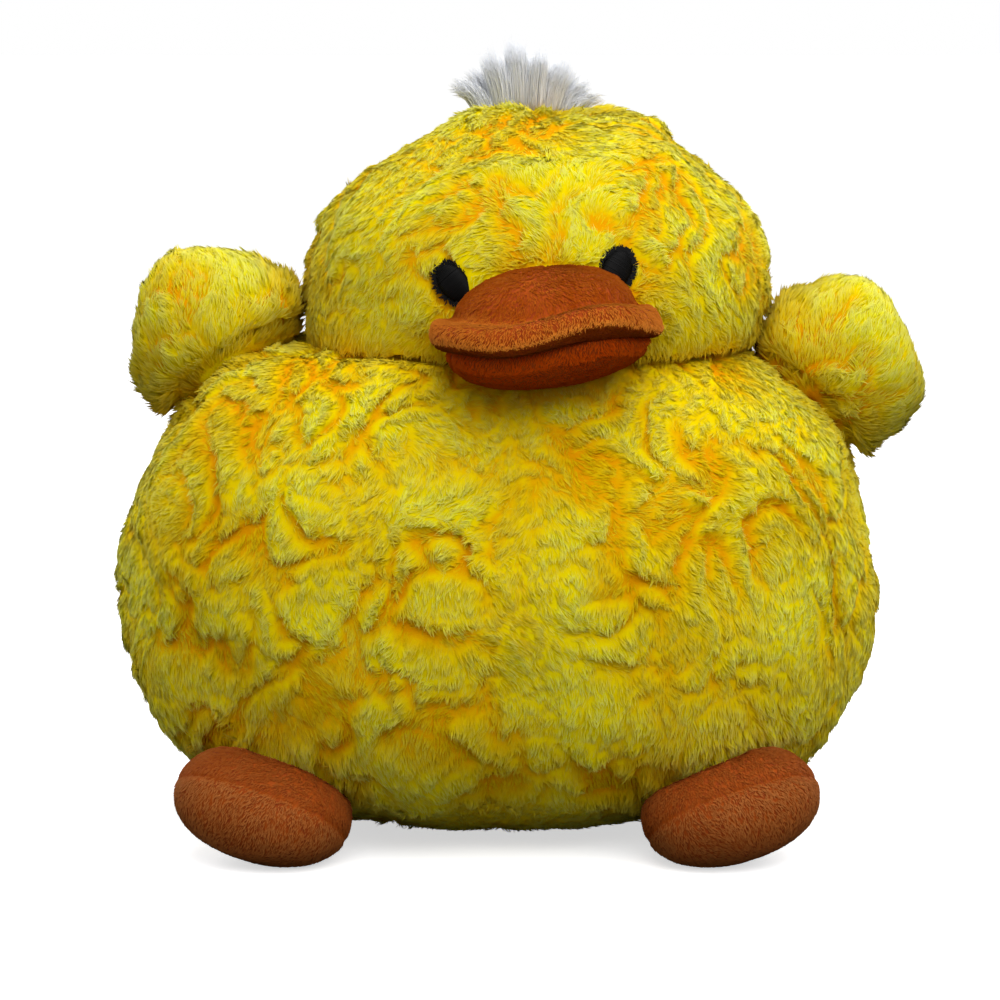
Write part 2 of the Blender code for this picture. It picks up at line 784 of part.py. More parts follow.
def foot_matrices(side, mesh):
    """The sewn edge that a foot lifts about, and the foot's middle in that edge's frame."""
    edge = BODY_CENTRE + BODY.at(FOOT_AZIMUTH_DEG, FOOT_LATITUDE_DEG)
    edge.x *= side
    splay = Matrix.Rotation(side * math.radians(FOOT_SPLAY_DEG), 4, "Z")
    roll = Matrix.Rotation(-side * math.radians(FOOT_ROLL_DEG), 4, "Y")
    turned = splay @ roll
    middle = edge + splay @ Vector((0, -FOOT_FORWARD, 0))
    middle.z = -BODY_FLAT - min((turned @ vert.co).z for vert in mesh.vertices)
    hinge = Matrix.Translation(edge) @ turned
    return hinge, hinge.inverted() @ Matrix.Translation(middle) @ turned


def build_foot(name, side, nap, fibre, body_cutter):
    """An upper over a sole with filling between, sewn to the body along its back edge."""
    outer = rounded_mesh(f"{name}_form", FOOT, LIMB_DETAIL)
    hinge_matrix, place = foot_matrices(side, outer)
    hinge = pivot(f"{name}_lift", hinge_matrix)
    bpy.context.view_layer.update()
    neighbours = turned_cutters(f"{name}_neighbours", (body_cutter,), hinge_matrix, "X", -FOOT_LIFT_DEG, 0)
    inner = rounded_mesh(f"{name}_inner_form", FOOT, LIMB_INNER_DETAIL)
    lining = cutter(f"{name}_lining_cutter", inner, hinge, place, -NAP_CLOTH)
    half_gap = SEAM_GAP / 2
    seam = -FOOT_SOLE_DROP
    facing = place @ Matrix.Rotation(-math.radians(FOOT_SOLE_TURN_DEG), 4, "X")
    above = block(f"{name}_upper_region", low={"z": seam + half_gap}, parent=hinge, matrix=facing)
    below = block(f"{name}_sole_region", high={"z": seam - half_gap}, parent=hinge, matrix=facing)
    floor = block(f"{name}_floor_cutter", high={"z": 0})
    clear_of = (lining, neighbours, floor)
    node(f"{name}_upper", outer, nap, hinge, place, (above,), clear_of)
    node(f"{name}_sole", outer, nap, hinge, place, (below,), clear_of)
    inside = -NAP_CLOTH - STUFFING_GAP
    node(f"{name}_filling", inner, fibre, hinge, place, clear_of=(neighbours,), swollen=inside)


def main():
    clear_scene()
    pile = cloth_material("yellow_plush_pile", YELLOW_PILE, 0.95)
    fibre = cloth_material("polyester_fibre", YELLOW_FIBRE, 1)
    orange = cloth_material("orange_nap_cloth", ORANGE_NAP, 0.8)
    dark = cloth_material("rust_nap_cloth", DARK_NAP, 0.8)
    brown = cloth_material("brown_nap_cloth", BROWN_NAP, 0.8)
    thread = cloth_material("black_satin_thread", BLACK_THREAD, 0.35)
    white = cloth_material("white_plush_pile", WHITE_PILE, 0.9)

    body_cutter = build_body(pile, fibre)
    turn = pivot("head_turn", Matrix.Translation(HEAD_CENTRE))
    lean = pivot("head_lean", Matrix.Rotation(math.radians(-HEAD_LEAN_DEG), 4, "Y"), turn)
    bpy.context.view_layer.update()
    head_cutter = build_head(pile, fibre, lean)
    build_eyes(thread, lean)
    chest = turned_cutters("chest", (body_cutter,), turn.matrix_world, "Z", -HEAD_TURN_DEG, HEAD_TURN_DEG)
    build_bill(orange, dark, fibre, lean, head_cutter, chest)
    build_crest(white, lean, head_cutter)
    wing_gap = cutter("head_wing_cutter", head_cutter.data, lean, None, WING_HEAD_GAP)
    for name, side, pose in (("left_wing", 1, LEFT_WING), ("right_wing", -1, RIGHT_WING)):
        build_wing(name, side, pose, pile, fibre, (body_cutter, wing_gap))
    for name, side in (("left_foot", 1), ("right_foot", -1)):
        build_foot(name, side, brown, fibre, body_cutter)


main()
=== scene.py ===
"""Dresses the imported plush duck: stuffed cloth, long curly pile, short nap, stitched eyes and a white tuft.

Metres, +Z up, the duck sits on z = 0 and faces -Y. Left and right are the duck's own, so left is +X.
"""

import json
import math

import bmesh
import bpy
import numpy as np
from mathutils import Matrix, Vector, noise
from mathutils.bvhtree import BVHTree
from mathutils.kdtree import KDTree


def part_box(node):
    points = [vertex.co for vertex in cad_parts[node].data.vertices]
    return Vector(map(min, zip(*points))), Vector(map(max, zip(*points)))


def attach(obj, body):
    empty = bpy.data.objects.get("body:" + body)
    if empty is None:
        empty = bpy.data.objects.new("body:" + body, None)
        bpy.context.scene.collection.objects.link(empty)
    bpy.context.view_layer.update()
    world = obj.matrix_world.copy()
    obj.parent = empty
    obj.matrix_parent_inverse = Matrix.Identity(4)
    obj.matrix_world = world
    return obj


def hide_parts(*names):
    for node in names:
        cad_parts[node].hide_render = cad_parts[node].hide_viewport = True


bl_info = {
    "name": "Plush duck",
    "version": (1, 0, 0),
    "blender": (4, 5, 0),
    "location": "3D View > Sidebar > Plush duck",
    "description": "Builds the cloth, pile, bill, eyes and tuft of a plush duck over its packed frame",
    "category": "Object",
}

MM = 0.001
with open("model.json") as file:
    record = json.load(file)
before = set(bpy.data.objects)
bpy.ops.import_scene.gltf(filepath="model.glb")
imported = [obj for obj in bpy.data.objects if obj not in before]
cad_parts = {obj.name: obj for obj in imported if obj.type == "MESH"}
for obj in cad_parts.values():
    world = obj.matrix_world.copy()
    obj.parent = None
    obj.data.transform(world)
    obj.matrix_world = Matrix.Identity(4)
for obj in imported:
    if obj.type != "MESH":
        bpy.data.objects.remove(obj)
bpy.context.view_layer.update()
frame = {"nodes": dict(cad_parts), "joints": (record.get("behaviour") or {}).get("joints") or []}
BODY_LOW, BODY_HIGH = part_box("body_filling")
HEAD_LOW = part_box("head_filling")[0]
BILL_LOW, BILL_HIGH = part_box("upper_bill_cover")
CREST_LOW, CREST_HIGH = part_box("crest_tuft")
CHEST_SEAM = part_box("body_front_left_panel")[0].x
SIDE_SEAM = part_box("body_front_left_panel")[1].y
CROWN_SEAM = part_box("head_front_panel")[1].y
JOINTS = {joint["name"]: joint for joint in frame["joints"]}
WINGS = ("left_wing_filling", "right_wing_filling")
FEET = ("left_foot_filling", "right_foot_filling")
TRUNK = ("body_filling", "head_filling")
BILL = ("upper_bill_cover", "lower_bill_cover")

# The picture: a square one, taken from a little above the duck
IMAGE_SIDE = 1000
PIXEL = 0.29 * MM  # at the middle of the duck
CAMERA_DISTANCE = 1.1
CAMERA_ELEVATION_DEG = 7
GROUND_PIXEL = (497, 810)  # under the middle of the body
SENSOR = 36

# The light: a soft one from above and in front, and two from behind that catch the edges of the pile
LAMPS = (  # name, watts, side and place
    ("key", 25, 1.8, (0.32, -0.82, 1.4)),
    ("left_edge", 7, 1, (0.9, 0.7, 0.7)),
    ("right_edge", 7, 1, (-0.9, 0.7, 0.7)),
)
LAMP_AIM = Vector((0, 0, 0.1))
WORLD_LIGHT = 0.46

# Stuffed cloth
VOXEL = 5 * MM
WING_VOXEL = 4 * MM
FOOT_VOXEL = 2 * MM
BILL_VOXEL = 1.1 * MM
BILL_GROW = (0.1 * MM, 1.1 * MM)  # of the upper and the lower bill
COVER_REACH = 14 * MM  # how far out the outer side of a cloth's nodes is looked for
LUMP_SHARE = 0.9  # how much of a lump of pile lies within the outer side of the nodes
PILE_GROW = 5.2 * MM  # from the filling out to the bottom of the partings of the pile
WING_GROW = 4.8 * MM
NAP_GROW = 1.5 * MM
HEAD_LEAN = 3 * MM  # how much fuller the head is on its right side
BASE_REST = 0.9 * MM  # room under the dense pile for the pile that is pressed flat
SWIRL = 2.4  # radians that brushed swirls may turn the pile
WISP_LOCKS = 18  # locks in a wisp that lean together
SPREAD = 0.2  # how far a lock of pile strays from its neighbours' way
WING_CREASE = 14 * MM  # how far from the wings the pile of body and head is longer
CREASE_SHADE_WIDTH = 13 * MM  # how far from a crease painted shade turns the pile of body and head golden
CREASE_SHADE_SHARE = 0.85  # how golden that painted shade makes it there
NAP_STREAK = 2 * MM  # length of the streaks in cloth with a nap
NOISE_SEED = 5  # the vector noise would start from the clock without it
PARTING_SHARE = 0.25  # how wide a parting is, against the noise that it winds along
PILE_SOFTNESS = 0.92  # share of a lock's shading that comes from the cloth
EVENNESS = 0.75  # share of the cloth's shading that light going through the lumps of pile evens out
NAP_SOFTNESS = 0.75
SWELL_CAP = 2 * MM  # the furthest that the simulation may move a point
SWELL_FRAMES = 20
FLOOR_GAP = 0.3 * MM
BILL_REACH_SHARE = 1.054  # the upper bill's length against half its width
PIECE_FACES = 190000  # the most faces of a piece
LOCK_FACES = 4
MAP_EDGE = 0.02  # the map of a lock keeps off its border
MAP_SPAN = 1 - 2 * MAP_EDGE
MAP_HALF_WIDTH = 0.008  # half of a lock's width on its map
THREAD_SIDES = 6
EYE_SPREAD = np.array((1.0, 1.12))  # the stitches against the eye's solid, which is seen through fur
EYE_CLEARANCE = (1.2, 1.1, 1.02)  # how far round an eye the root, middle and tip of a lock are kept away
STRAY_SHARE = 0.03  # how many of those locks are left in place
FRINGE_COUNT = 420  # loose ends of thread round an eye
NEAR = 9 * MM  # how far a neighbour's cloth is looked for
FAR = 30 * MM  # how far a neighbour's filling is looked for


def linear(hex_colour):
    """An sRGB hex colour as linear red, green and blue."""
    shares = [int(hex_colour[i : i + 2], 16) / 255 for i in (0, 2, 4)]
    return [c / 12.92 if c <= 0.04045 else ((c + 0.055) / 1.055) ** 2.4 for c in shares]


def length_property(name, description, default):
    return bpy.props.FloatProperty(name=name, description=description, default=default, min=0, unit="LENGTH")


def colour_property(name, description, hex_colour):
    return bpy.props.FloatVectorProperty(
        name=name, description=description, default=linear(hex_colour), size=3, subtype="COLOR", min=0, max=1
    )


class DuckSizes(bpy.types.PropertyGroup):
    """The sizes that a maker of the toy would choose."""

    lump_height: length_property("Lump height", "How far the lumps of the pile stand over its partings", 3.2 * MM)
    lump_size: length_property("Lump size", "How far apart the lumps of the pile are", 13 * MM)
    pile_rise: length_property("Pile rise", "How far the ends of the pile stand off the dense pile", 0.34 * MM)
    pile_reach: length_property("Pile reach", "How far the ends of the pile lie along it", 3.5 * MM)
    pile_width: length_property("Pile width", "Width of one lock of the long pile", 0.15 * MM)
    nap_rise: length_property("Nap rise", "How far the short nap stands off its cloth", 0.45 * MM)
    nap_reach: length_property("Nap reach", "How far the short nap lies along its cloth", 1.5 * MM)
    nap_width: length_property("Nap width", "Width of one lock of the short nap", 0.2 * MM)
    tuft_length: length_property("Tuft length", "Length of the white pile on the crown", 20 * MM)
    tuft_width: length_property("Tuft width", "Width of one lock of the white pile", 0.2 * MM)
    thread_width: length_property("Thread width", "Width of one satin stitch of an eye", 0.5 * MM)
    pile_count: bpy.props.FloatProperty(
        name="Pile count",
        description="Locks of long pile on a square millimetre of the front",
        default=3.0,
        min=0.1,
    )
    nap_count: bpy.props.FloatProperty(
        name="Nap count", description="Locks of short nap on a square millimetre", default=5.0, min=0.1
    )


class DuckColours(bpy.types.PropertyGroup):
    """The colours of the cloths and threads, and the shade and light painted into some of them."""

    pile_tip: colour_property("Pile tip", "Lemon yellow at the tips of the long pile", "FAF886")
    pile_middle: colour_property("Pile middle", "Yellow half way down the long pile", "F6EE22")
    # Painted shade: the long pile turns golden towards its roots, down where shade falls in it
    pile_root: colour_property("Pile root", "Golden yellow at the roots of the long pile", "F4DE00")
    pile_haze: colour_property("Pile haze", "Pale haze of the fibres along the edge of the pile", "FFF264")
    # Painted shade: the golden locks between ridges and the orange gold in the partings stand for shade down in
    # the pile
    gold_tip: colour_property("Gold tip", "Tips of the golden locks between ridges", "F4D400")
    gold_root: colour_property("Gold root", "Roots of the golden locks between ridges", "F0B000")
    parting: colour_property("Parting", "Orange gold at the bottom of the partings", "F0A200")
    # Painted highlight: pale nap on the underside of the rolled lip, which faces away from the lamps
    bill_pale: colour_property("Bill pale", "Nap on the underside of the bill's rolled lip", "FFA040")
    bill_light: colour_property("Bill light", "Combed highlights of the bill's nap", "DC7E16")
    bill_middle: colour_property("Bill middle", "Most of the bill's nap", "B84E00")
    bill_dark: colour_property("Bill dark", "Shaded streaks of the bill's nap", "A03C00")
    rust_light: colour_property("Rust light", "Combed highlights of the lower bill's nap", "E87018")
    rust_middle: colour_property("Rust middle", "Most of the lower bill's nap", "E05200")
    rust_dark: colour_property("Rust dark", "Shaded streaks of the lower bill's nap", "D03C00")
    foot_pale: colour_property("Foot pale", "Combed highlights of the soles", "C87E42")
    foot_light: colour_property("Foot light", "Most of the nap of the soles", "AE6022")
    foot_middle: colour_property("Foot middle", "Most of the nap over the toes", "B04E00")
    foot_dark: colour_property("Foot dark", "Shaded streaks of the feet", "8E3800")
    thread: colour_property("Eye thread", "Black satin thread of the eyes", "030303")
    tuft_tip: colour_property("Tuft tip", "White at the tips of the tuft", "F6F8FC")
    # Painted shade: the white tuft turns pale blue grey low down, where it is deep
    tuft_root: colour_property("Tuft root", "Pale blue grey low in the tuft", "EEF0F4")
    tuft_glow: colour_property("Tuft glow", "Cream at the very roots of the tuft", "F8E8C8")


# Materials


def add_node(tree, kind, settings=None, links=None):
    """A node with its settings, by property name, and its inputs, each a value or another node's output."""
    node = tree.nodes.new(kind)
    for name, value in (settings or {}).items():
        setattr(node, name, value)
    for key, value in (links or {}).items():
        if isinstance(value, bpy.types.NodeSocket):
            tree.links.new(value, node.inputs[key])
        else:
            node.inputs[key].default_value = value
    return node


def new_material(name, roughness, specular, sheen=0, sheen_tint=(1, 1, 1)):
    """A Principled material, its tree and its shader."""
    material = bpy.data.materials.new(name)
    material.use_nodes = True
    tree = material.node_tree
    shader = tree.nodes["Principled BSDF"]
    shader.inputs["Roughness"].default_value = roughness
    shader.inputs["Specular IOR Level"].default_value = specular
    shader.inputs["Sheen Weight"].default_value = sheen
    shader.inputs["Sheen Tint"].default_value = (*sheen_tint, 1)
    return material, tree, shader


def set_ramp(node, stops):
    """Places a colour ramp's stops, each a place and a colour."""
    elements = node.color_ramp.elements
    while len(elements) > 1:
        elements.remove(elements[-1])
    elements[0].position = stops[0][0]
    elements[0].color = (*stops[0][1], 1)
    for place, colour in stops[1:]:
        elements.new(place).color = (*colour, 1)


def lock_material(name, roughness, specular, light, dark, sheen=0, sheen_tint=(1, 1, 1)):
    """Locks of pile coloured from root to tip, from a dark to a light kind of lock.

    The map holds the kind of lock across and the way from root to tip up.
    """
    material, tree, shader = new_material(name, roughness, specular, sheen, sheen_tint)
    place = add_node(tree, "ShaderNodeUVMap", {"uv_map": "OFBake"})
    parts = add_node(tree, "ShaderNodeSeparateXYZ", links={"Vector": place.outputs["UV"]})
    light_ramp = add_node(tree, "ShaderNodeValToRGB", links={"Fac": parts.outputs["Y"]})
    dark_ramp = add_node(tree, "ShaderNodeValToRGB", links={"Fac": parts.outputs["Y"]})
    set_ramp(light_ramp, light)
    set_ramp(dark_ramp, dark)
    # A Mix node's colour sockets share their names with its other kinds, so they are taken by number
    mixed = add_node(
        tree,
        "ShaderNodeMix",
        {"data_type": "RGBA"},
        {"Factor": parts.outputs["X"], 6: dark_ramp.outputs["Color"], 7: light_ramp.outputs["Color"]},
    )
    tree.links.new(mixed.outputs[2], shader.inputs["Base Color"])
    return material


def nap_cloth_material(name, dark, middle):
    """Cloth under the short nap: combed streaks a few millimetres long."""
    material, tree, shader = new_material(name, 0.85, 0.25)
    place = add_node(tree, "ShaderNodeTexCoord")
    stretched = add_node(
        tree, "ShaderNodeMapping", links={"Vector": place.outputs["Object"], "Scale": (1, 1, 0.35)}
    )
    streaks = add_node(
        tree,
        "ShaderNodeTexNoise",
        links={"Vector": stretched.outputs["Vector"], "Scale": 1 / NAP_STREAK, "Detail": 3, "Roughness": 0.6},
    )
    colours = add_node(tree, "ShaderNodeValToRGB", links={"Fac": streaks.outputs["Fac"]})
    set_ramp(colours, ((0.35, dark), (0.7, middle)))
    bump = add_node(
        tree,
        "ShaderNodeBump",
        links={"Height": streaks.outputs["Fac"], "Distance": 0.4 * MM, "Strength": 0.7},
    )
    tree.links.new(colours.outputs["Color"], shader.inputs["Base Color"])
    tree.links.new(bump.outputs["Normal"], shader.inputs["Normal"])
    return material


# Stuffed cloth


def new_object(name, mesh, material=None):
    obj = bpy.data.objects.new(name, mesh)
    bpy.context.scene.collection.objects.link(obj)
    if material:
        mesh.materials.clear()
        mesh.materials.append(material)
    return obj


def evaluated_mesh(obj):
    """The object's mesh with its modifiers applied, as a new mesh."""
    graph = bpy.context.evaluated_depsgraph_get()
    return bpy.data.meshes.new_from_object(obj.evaluated_get(graph))


def points_of(mesh):
    points = np.empty(len(mesh.vertices) * 3, np.float32)
    mesh.vertices.foreach_get("co", points)
    return points.reshape(-1, 3).astype(float)


def set_points(mesh, points):
    mesh.vertices.foreach_set("co", points.astype(np.float32).ravel())
    mesh.update()


def swell(obj):
    """Blows the cloth up over its stuffing for a few frames, and keeps each point within the cap."""
    start = points_of(obj.data)
    cloth = obj.modifiers.new("Stuffing", "CLOTH")
    cloth.settings.use_pressure = True
    cloth.settings.uniform_pressure_force = 4
    cloth.settings.effector_weights.gravity = 0
    scene = bpy.context.scene
    for number in range(1, SWELL_FRAMES + 1):
        scene.frame_set(number)
    graph = bpy.context.evaluated_depsgraph_get()
    end = points_of(obj.evaluated_get(graph).to_mesh())
    obj.modifiers.remove(cloth)
    scene.frame_set(1)
    moved = end - start
    far = np.linalg.norm(moved, axis=1, keepdims=True)
    moved *= np.minimum(1, SWELL_CAP / np.maximum(far, 1e-9))
    set_points(obj.data, start + moved)


def merged(nodes):
    """The meshes of some nodes together, with their loose triangles joined."""
    bm = bmesh.new()
    for node in nodes:
        bm.from_mesh(frame["nodes"][node].data)
    bmesh.ops.remove_doubles(bm, verts=bm.verts, dist=0.01 * MM)
    bmesh.ops.recalc_face_normals(bm, faces=bm.faces)
    return bm


def node_tree(nodes):
    """A search tree over some nodes together."""
    bm = merged(nodes)
    tree = BVHTree.FromBMesh(bm)
    bm.free()
    return tree


def stuffed_cloth(name, nodes, grow, voxel, material, levels=1, rounding=1):
    """Cloth in the form of some nodes together: grown outwards, remeshed, blown up and smoothed."""
    bm = merged(nodes)
    mesh = bpy.data.meshes.new(name)
    bm.to_mesh(mesh)
    bm.free()
    obj = new_object(name, mesh)
    rounded = obj.modifiers.new("Rounded", "SUBSURF")
    rounded.levels = rounded.render_levels = rounding
    grown = obj.modifiers.new("Grown", "DISPLACE")
    grown.mid_level = 0
    grown.strength = grow
    remesh = obj.modifiers.new("Even", "REMESH")
    remesh.mode = "VOXEL"
    remesh.voxel_size = voxel
    smooth = obj.modifiers.new("Smooth", "SMOOTH")
    smooth.iterations = 4
    obj.data = evaluated_mesh(obj)
    obj.modifiers.clear()
    swell(obj)
    finer = obj.modifiers.new("Finer", "SUBSURF")
    finer.levels = finer.render_levels = levels
    obj.data = evaluated_mesh(obj)
    obj.modifiers.clear()
    obj.data.name = name
    obj.data.materials.clear()
    obj.data.materials.append(material)
    obj.data.shade_smooth()
    return obj


def belongs(points, nodes):
    """The index of the nearest of some nodes to each point."""
    apart = np.empty((len(nodes), len(points)))
    for row, node in enumerate(nodes):
        tree = node_tree((node,))
        apart[row] = [tree.find_nearest(point)[3] for point in points]
    return apart.argmin(axis=0)


def keep_between(obj, low, high=math.inf):
    """Flattens a stuffed piece where it rests on a neighbour below or above it."""
    points = points_of(obj.data)
    points[:, 2] = np.clip(points[:, 2], low, high)
    set_points(obj.data, points)


def hand_over(cloth, body, node):
    """Says what a cloth rides on and which node it replaces."""
    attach(cloth, body)
    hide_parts(node)


# Locks of pile, nap and thread


def unit(vectors):
    return vectors / np.maximum(np.linalg.norm(vectors, axis=-1, keepdims=True), 1e-12)


def dots(first, second):
    return np.sum(first * second, axis=-1, keepdims=True)


def tangent(vectors, normals):
    return unit(vectors - normals * dots(vectors, normals))


def turned(vectors, axes, angles):
    """Vectors turned about unit axes that they are at right angles to."""
    return vectors * np.cos(angles)[:, None] + np.cross(axes, vectors) * np.sin(angles)[:, None]


def mesh_of_locks(name, corners, faces, places, normals, material):
    """One mesh of many alike closed locks: corners holds the points of each, and faces one lock's triangles."""
    count, per_lock = corners.shape[:2]
    sides = corners[:, faces]
    volume = np.sum(np.cross(sides[:, :, 0], sides[:, :, 1]) * sides[:, :, 2], axis=(1, 2))
    index = faces[None] + per_lock * np.arange(count)[:, None, None]
    index = np.where((volume < 0)[:, None, None], index[:, :, ::-1], index).reshape(-1)
    face_count = count * len(faces)
    mesh = bpy.data.meshes.new(name)
    mesh.vertices.add(count * per_lock)
    mesh.vertices.foreach_set("co", corners.astype(np.float32).ravel())
    mesh.loops.add(face_count * 3)
    mesh.loops.foreach_set("vertex_index", index.astype(np.int32))
    mesh.polygons.add(face_count)
    mesh.polygons.foreach_set("loop_start", np.arange(0, face_count * 3, 3, dtype=np.int32))
    mesh.update(calc_edges=True)
    mesh.shade_smooth()
    uv = mesh.uv_layers.new(name="OFBake")
    uv.data.foreach_set("uv", places.reshape(-1, 2)[index].astype(np.float32).ravel())
    if normals is not None:
        mesh.normals_split_custom_set_from_vertices(normals.reshape(-1, 3).astype(np.float32))
    return new_object(name, mesh, material)


def flat_locks(name, lines, out, lit, shade, width, softness, material):
    """Flat closed locks of four faces, each along a root, a middle and a tip, with the flat side outwards.

    out is the cloth's way out at each lock, lit the way that the cloth there takes its light from, and softness
    how far a lock takes its shading from that.
    """
    bm = bmesh.new()
    bmesh.ops.create_cone(bm, cap_ends=True, segments=3, radius1=1, radius2=0, depth=1)
    bmesh.ops.triangulate(bm, faces=bm.faces)
    bm.verts.ensure_lookup_table()
    top = max(bm.verts, key=lambda vert: vert.co.z).index
    ring = [vert.index for vert in bm.verts if vert.index != top]
    faces = np.array([[vert.index for vert in face.verts] for face in bm.faces])
    bm.free()
    root, middle, tip = lines[:, 0], lines[:, 1], lines[:, 2]
    side = unit(np.cross(tip - root, out))
    corners = np.empty((len(lines), 4, 3))
    corners[:, top] = tip
    corners[:, ring[0]] = root
    corners[:, ring[1]] = middle + side * (width / 2)
    corners[:, ring[2]] = middle - side * (width / 2)
    facing = unit(np.cross(side, tip - root))
    facing = facing * np.sign(dots(facing, out))
    shading = unit(facing * (1 - softness) + lit * softness)
    normals = np.repeat(shading[:, None], 4, axis=1)
    normals[:, ring[1]] = unit(shading + side * 0.1)
    normals[:, ring[2]] = unit(shading - side * 0.1)
    places = np.empty((len(lines), 4, 2))
    places[..., 0] = (MAP_EDGE + MAP_SPAN * shade)[:, None]
    places[:, ring[1], 0] += MAP_HALF_WIDTH
    places[:, ring[2], 0] -= MAP_HALF_WIDTH
    places[..., 1] = 0.5
    places[:, top, 1] = 1 - MAP_EDGE
    places[:, ring[0], 1] = MAP_EDGE
    return mesh_of_locks(name, corners, faces, places, normals, material)


def round_locks(name, lines, radii, shade, material, sides, turn):
    """Round closed locks, each along a line of points from root to tip, with a radius at each ring."""
    stations = lines.shape[1]
    rings = stations - 2
    bm = bmesh.new()
    bmesh.ops.create_cone(bm, cap_ends=True, cap_tris=True, segments=sides, radius1=1, radius2=1, depth=2)
    for ring in range(1, rings - 1):
        height = 2 * ring / (rings - 1) - 1
        geometry = bm.verts[:] + bm.edges[:] + bm.faces[:]
        bmesh.ops.bisect_plane(bm, geom=geometry, plane_co=(0, 0, height), plane_no=(0, 0, 1))
    bmesh.ops.triangulate(bm, faces=bm.faces)
    bm.verts.ensure_lookup_table()
    places = [vert.co.copy() for vert in bm.verts]
    faces = np.array([[vert.index for vert in face.verts] for face in bm.faces])
    bm.free()
    angle = np.array([math.atan2(co.y, co.x) for co in places])
    on_ring = np.array([math.hypot(co.x, co.y) > 0.5 for co in places])
    ring_at = np.array([1 + round((co.z + 1) / 2 * (rings - 1)) for co in places])
    station = np.where(on_ring, ring_at, np.where(ring_at > 1, stations - 1, 0))
    along = unit(np.gradient(lines, axis=1))
    across = unit(np.cross(along, turn[:, None, :]))
    beside = np.cross(along, across)
    reach = np.concatenate([[0], radii, [0]])[station]
    corners = lines[:, station]
    corners = corners + across[:, station] * (reach * np.cos(angle))[None, :, None]
    corners = corners + beside[:, station] * (reach * np.sin(angle))[None, :, None]
    map_across = MAP_EDGE + MAP_SPAN * shade[:, None] + MAP_HALF_WIDTH * np.cos(angle)[None]
    map_up = np.broadcast_to(MAP_EDGE + MAP_SPAN * station / (stations - 1), map_across.shape)
    return mesh_of_locks(name, corners, faces, np.stack([map_across, map_up], axis=-1), None, material)


def normals_of(mesh):
    normals = np.empty(len(mesh.vertices) * 3, np.float32)
    mesh.vertices.foreach_get("normal", normals)
    return normals.reshape(-1, 3).astype(float)


def scatter(mesh, per_square_mm, random, fields, weight=None):
    """Roots spread evenly over a cloth, and the values there of fields that are given at its vertices."""
    mesh.calc_loop_triangles()
    triangles = np.empty(len(mesh.loop_triangles) * 3, np.int32)
    mesh.loop_triangles.foreach_get("vertices", triangles)
    triangles = triangles.reshape(-1, 3)
    corners = points_of(mesh)[triangles]
    area = np.linalg.norm(np.cross(corners[:, 1] - corners[:, 0], corners[:, 2] - corners[:, 0]), axis=1) / 2
    if weight is not None:
        area = area * weight(corners.mean(axis=1))
    count = int(area.sum() * 1e6 * per_square_mm)
    chosen = random.choice(len(area), size=count, p=area / area.sum())
    share = random.random((count, 2))
    over = share.sum(axis=1) > 1
    share[over] = 1 - share[over]
    weights = np.concatenate([1 - share.sum(axis=1, keepdims=True), share], axis=1)
    values = [np.einsum("ij,ijk->ik", weights, field[triangles[chosen]]) for field in fields]
    return np.einsum("ij,ijk->ik", weights, corners[chosen]), values


def nearest(points, centres):
    """The index of the nearest centre to each point."""
    tree = KDTree(len(centres))
    for index, centre in enumerate(centres):
        tree.insert(centre, index)
    tree.balance()
    return np.array([tree.find(point)[1] for point in points])


def flat_noise(points, size, offset):
    """Smooth noise from -1 to 1 with features about a size across."""
    shift = Vector((offset, offset * 0.37, -offset * 0.71))
    return np.array([noise.noise(Vector(point) / size + shift) for point in points])


def folds(points, size, seed):
    """A field of soft lumps about a size apart, on broad swells, and the way uphill at each point."""
    shift = Vector((seed, seed * 0.37, -seed * 0.71))
    noise.seed_set(NOISE_SEED)

    def level(place):
        bent = place + noise.noise_vector(place * 0.7) * 0.7
        wave = abs(noise.noise(bent) + 0.3 * noise.noise(bent * 2.1 + shift))
        depth = min(1, max(0.2, 0.65 + 1.2 * noise.noise(place * 0.45 - shift)))
        small = abs(noise.noise(bent * 2.7 - shift))
        lump = 1 - depth * math.exp(-((wave / PARTING_SHARE) ** 2)) - 0.2 * math.exp(-((small / 0.2) ** 2))
        lump = max(0, lump)
        swell = 0.5 + noise.noise(place * 0.55 + shift)
        return 0.68 * lump + 0.32 * min(1, max(0, swell))

    step = 0.06
    levels = np.empty((len(points), 4))
    for row, point in enumerate(points):
        place = Vector(point) / size + shift
        levels[row, 0] = level(place)
        for axis in range(3):
            beside = place.copy()
            beside[axis] += step
            levels[row, axis + 1] = level(beside)
    return levels[:, 0], (levels[:, 1:] - levels[:, :1]) / step


def evened(mesh, values, rounds):
    """Values at a mesh's vertices, each drawn half way to the mean of its neighbours for some rounds."""
    edges = np.empty(len(mesh.edges) * 2, np.int32)
    mesh.edges.foreach_get("vertices", edges)
    first, second = edges.reshape(-1, 2).T
    size = len(values)
    count = np.bincount(edges, minlength=size)
    for _ in range(rounds):
        total = np.bincount(first, values[second], size) + np.bincount(second, values[first], size)
        values = (values + total / count) / 2
    return values


def cover_rise(mesh, nodes):
    """How far the outer side of the nodes over a cloth lies from it, along the cloth's way out."""
    tree = node_tree(nodes)
    found = [
        tree.ray_cast(point + way * COVER_REACH, -way, 2 * COVER_REACH)[3]
        for point, way in zip(points_of(mesh), normals_of(mesh))
    ]
    met = np.array([distance is not None for distance in found])
    rise = np.array([COVER_REACH - (distance or 0) for distance in found])
    rise[~met] = np.median(rise[met])
    return evened(mesh, np.clip(rise, -2 * MM, 6 * MM), 8)


